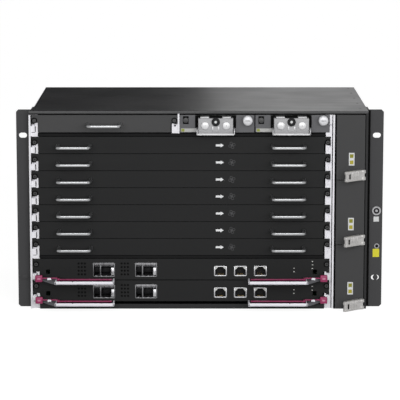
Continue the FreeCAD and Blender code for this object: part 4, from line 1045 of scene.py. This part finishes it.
def fan_label(name):
    """A blank white label with two plain colour fields, one above the other."""
    low, high = span(name + "_housing")
    x = (low[0] + high[0]) / 2 + 1.2
    z = high[2] - 58.2
    shape = Shape(PLATE_WHITE)
    shape.block(x - 3.7, x + 3.7, FAN_FACE - 0.12, FAN_FACE + SEAT, z - 8.4, z + 8.4, edge=0.1, steps=1)
    for paint, foot in ((OLIVE, z + 1.7), (OCHRE, z - 6.6)):
        shape.paint = paint
        shape.block(x - 2.35, x + 2.35, FAN_FACE - 0.16, FAN_FACE, foot, foot + 4.9, edge=0)
    shape.finish(name + "_label", name)


for fan in ("fan_1", "fan_2", "fan_3"):
    dress(FAN, [fan + "_housing"])
    dress(BLACK, [fan + "_rotor"], edge=0.2)
    latch(fan + "_latch")
    fan_label(fan)


# Studio: a pale floor, a low soft light from the front, a small one from the
# right, and a black flag behind the object that only its gloss shows.

CAMERA_GAP = 2.7654
CAMERA_HEIGHT = 0.6165
CAMERA_TILT = 0.16847
FLOOR_HALF = 20.0
FLAG_Y = 1.0
FLAG_LEFT = -4.0
FLAG_RIGHT = 0.02
FLAG_TOP = 3.0


def backdrop_level(nodes, dark, light):
    """One level for diffuse light, another where an eye or a gloss sees it."""
    seen = [nodes.node("LightPath", {}, {}, name + " Ray")
            for name in ("Is Camera", "Is Glossy", "Is Transmission")]
    either = {0: seen[0] + seen[1], 1: seen[2]}
    share = nodes.node("Math", {"operation": "ADD", "use_clamp": True}, either)
    return nodes.blend((dark, dark, dark), (light, light, light), share)


def studio_world(fill):
    """A white room to the eye and to gloss, with a dim fill for diffuse light."""
    world = bpy.data.worlds.new("studio")
    bpy.context.scene.world = world
    world.use_nodes = True
    world.node_tree.nodes.clear()
    nodes = Nodes(world.node_tree)
    sky = nodes.node("Background", {}, {"Color": backdrop_level(nodes, fill, 1.0)})
    out = world.node_tree.nodes.new("ShaderNodeOutputWorld")
    world.node_tree.links.new(sky.socket, out.inputs["Surface"])


def studio_light(name, place, aim, size, power):
    """A soft rectangle of light that faces the place it is aimed at."""
    data = bpy.data.lights.new(name, "AREA")
    data.shape = "RECTANGLE"
    data.size = size[0]
    data.size_y = size[1]
    data.energy = power
    light = bpy.data.objects.new(name, data)
    light.location = place
    way = Vector(aim) - Vector(place)
    light.rotation_euler = way.to_track_quat("-Z", "Y").to_euler()
    bpy.context.scene.collection.objects.link(light)


def studio_sheet(name, corners, paint):
    """A flat sheet of the set, which isn't part of the object."""
    shape = bmesh.new()
    shape.faces.new([shape.verts.new(corner) for corner in corners])
    mesh = bpy.data.meshes.new(name)
    shape.to_mesh(mesh)
    shape.free()
    mesh.materials.append(paint.material)
    sheet = bpy.data.objects.new(name, mesh)
    bpy.context.scene.collection.objects.link(sheet)
    return sheet


def studio_camera():
    """A long lens at the photograph's place, a little above the object."""
    data = bpy.data.cameras.new("photo")
    data.lens = 192.2
    data.sensor_width = 36.0
    data.clip_end = 50.0
    camera = bpy.data.objects.new("photo", data)
    camera.location = (0.0001, FRONT / 1000 - CAMERA_GAP, CAMERA_HEIGHT)
    camera.rotation_euler = (math.radians(90) - CAMERA_TILT, 0, 0)
    bpy.context.scene.collection.objects.link(camera)
    bpy.context.scene.camera = camera


bpy.context.scene.view_settings.view_transform = "Standard"
studio_world(0.24)
studio_camera()

PAPER = Paint("floor_paper", 0.9, specular=0.05)
PAPER.shader.inputs["Base Color"].default_value = (0.32, 0.32, 0.32, 1)
PAPER.shader.inputs["Emission Strength"].default_value = 1.0
glow = backdrop_level(PAPER, 0.0, 0.90)
PAPER.tree.links.new(glow.socket, PAPER.shader.inputs["Emission Color"])
corners = [(a * FLOOR_HALF, b * FLOOR_HALF, 0) for a, b in ((-1, -1), (1, -1), (1, 1), (-1, 1))]
studio_sheet("floor", corners, PAPER)

FELT = Paint("flag_felt", 1.0, specular=0.0)
FELT.shader.inputs["Base Color"].default_value = (0, 0, 0, 1)
corners = [(FLAG_LEFT, FLAG_Y, 0), (FLAG_RIGHT, FLAG_Y, 0), (FLAG_RIGHT, FLAG_Y, FLAG_TOP),
           (FLAG_LEFT, FLAG_Y, FLAG_TOP)]
flag = studio_sheet("flag", corners, FELT)
for ray in ("camera", "diffuse", "transmission", "volume_scatter", "shadow"):
    setattr(flag, "visible_" + ray, False)

AIM = (0, 0, 0.13)
studio_light("front_soft", (0.1, -2.3, 0.72), AIM, (2.0, 1.0), 34)
studio_light("right_soft", (1.7, -1.3, 0.9), AIM, (1.0, 1.0), 5)
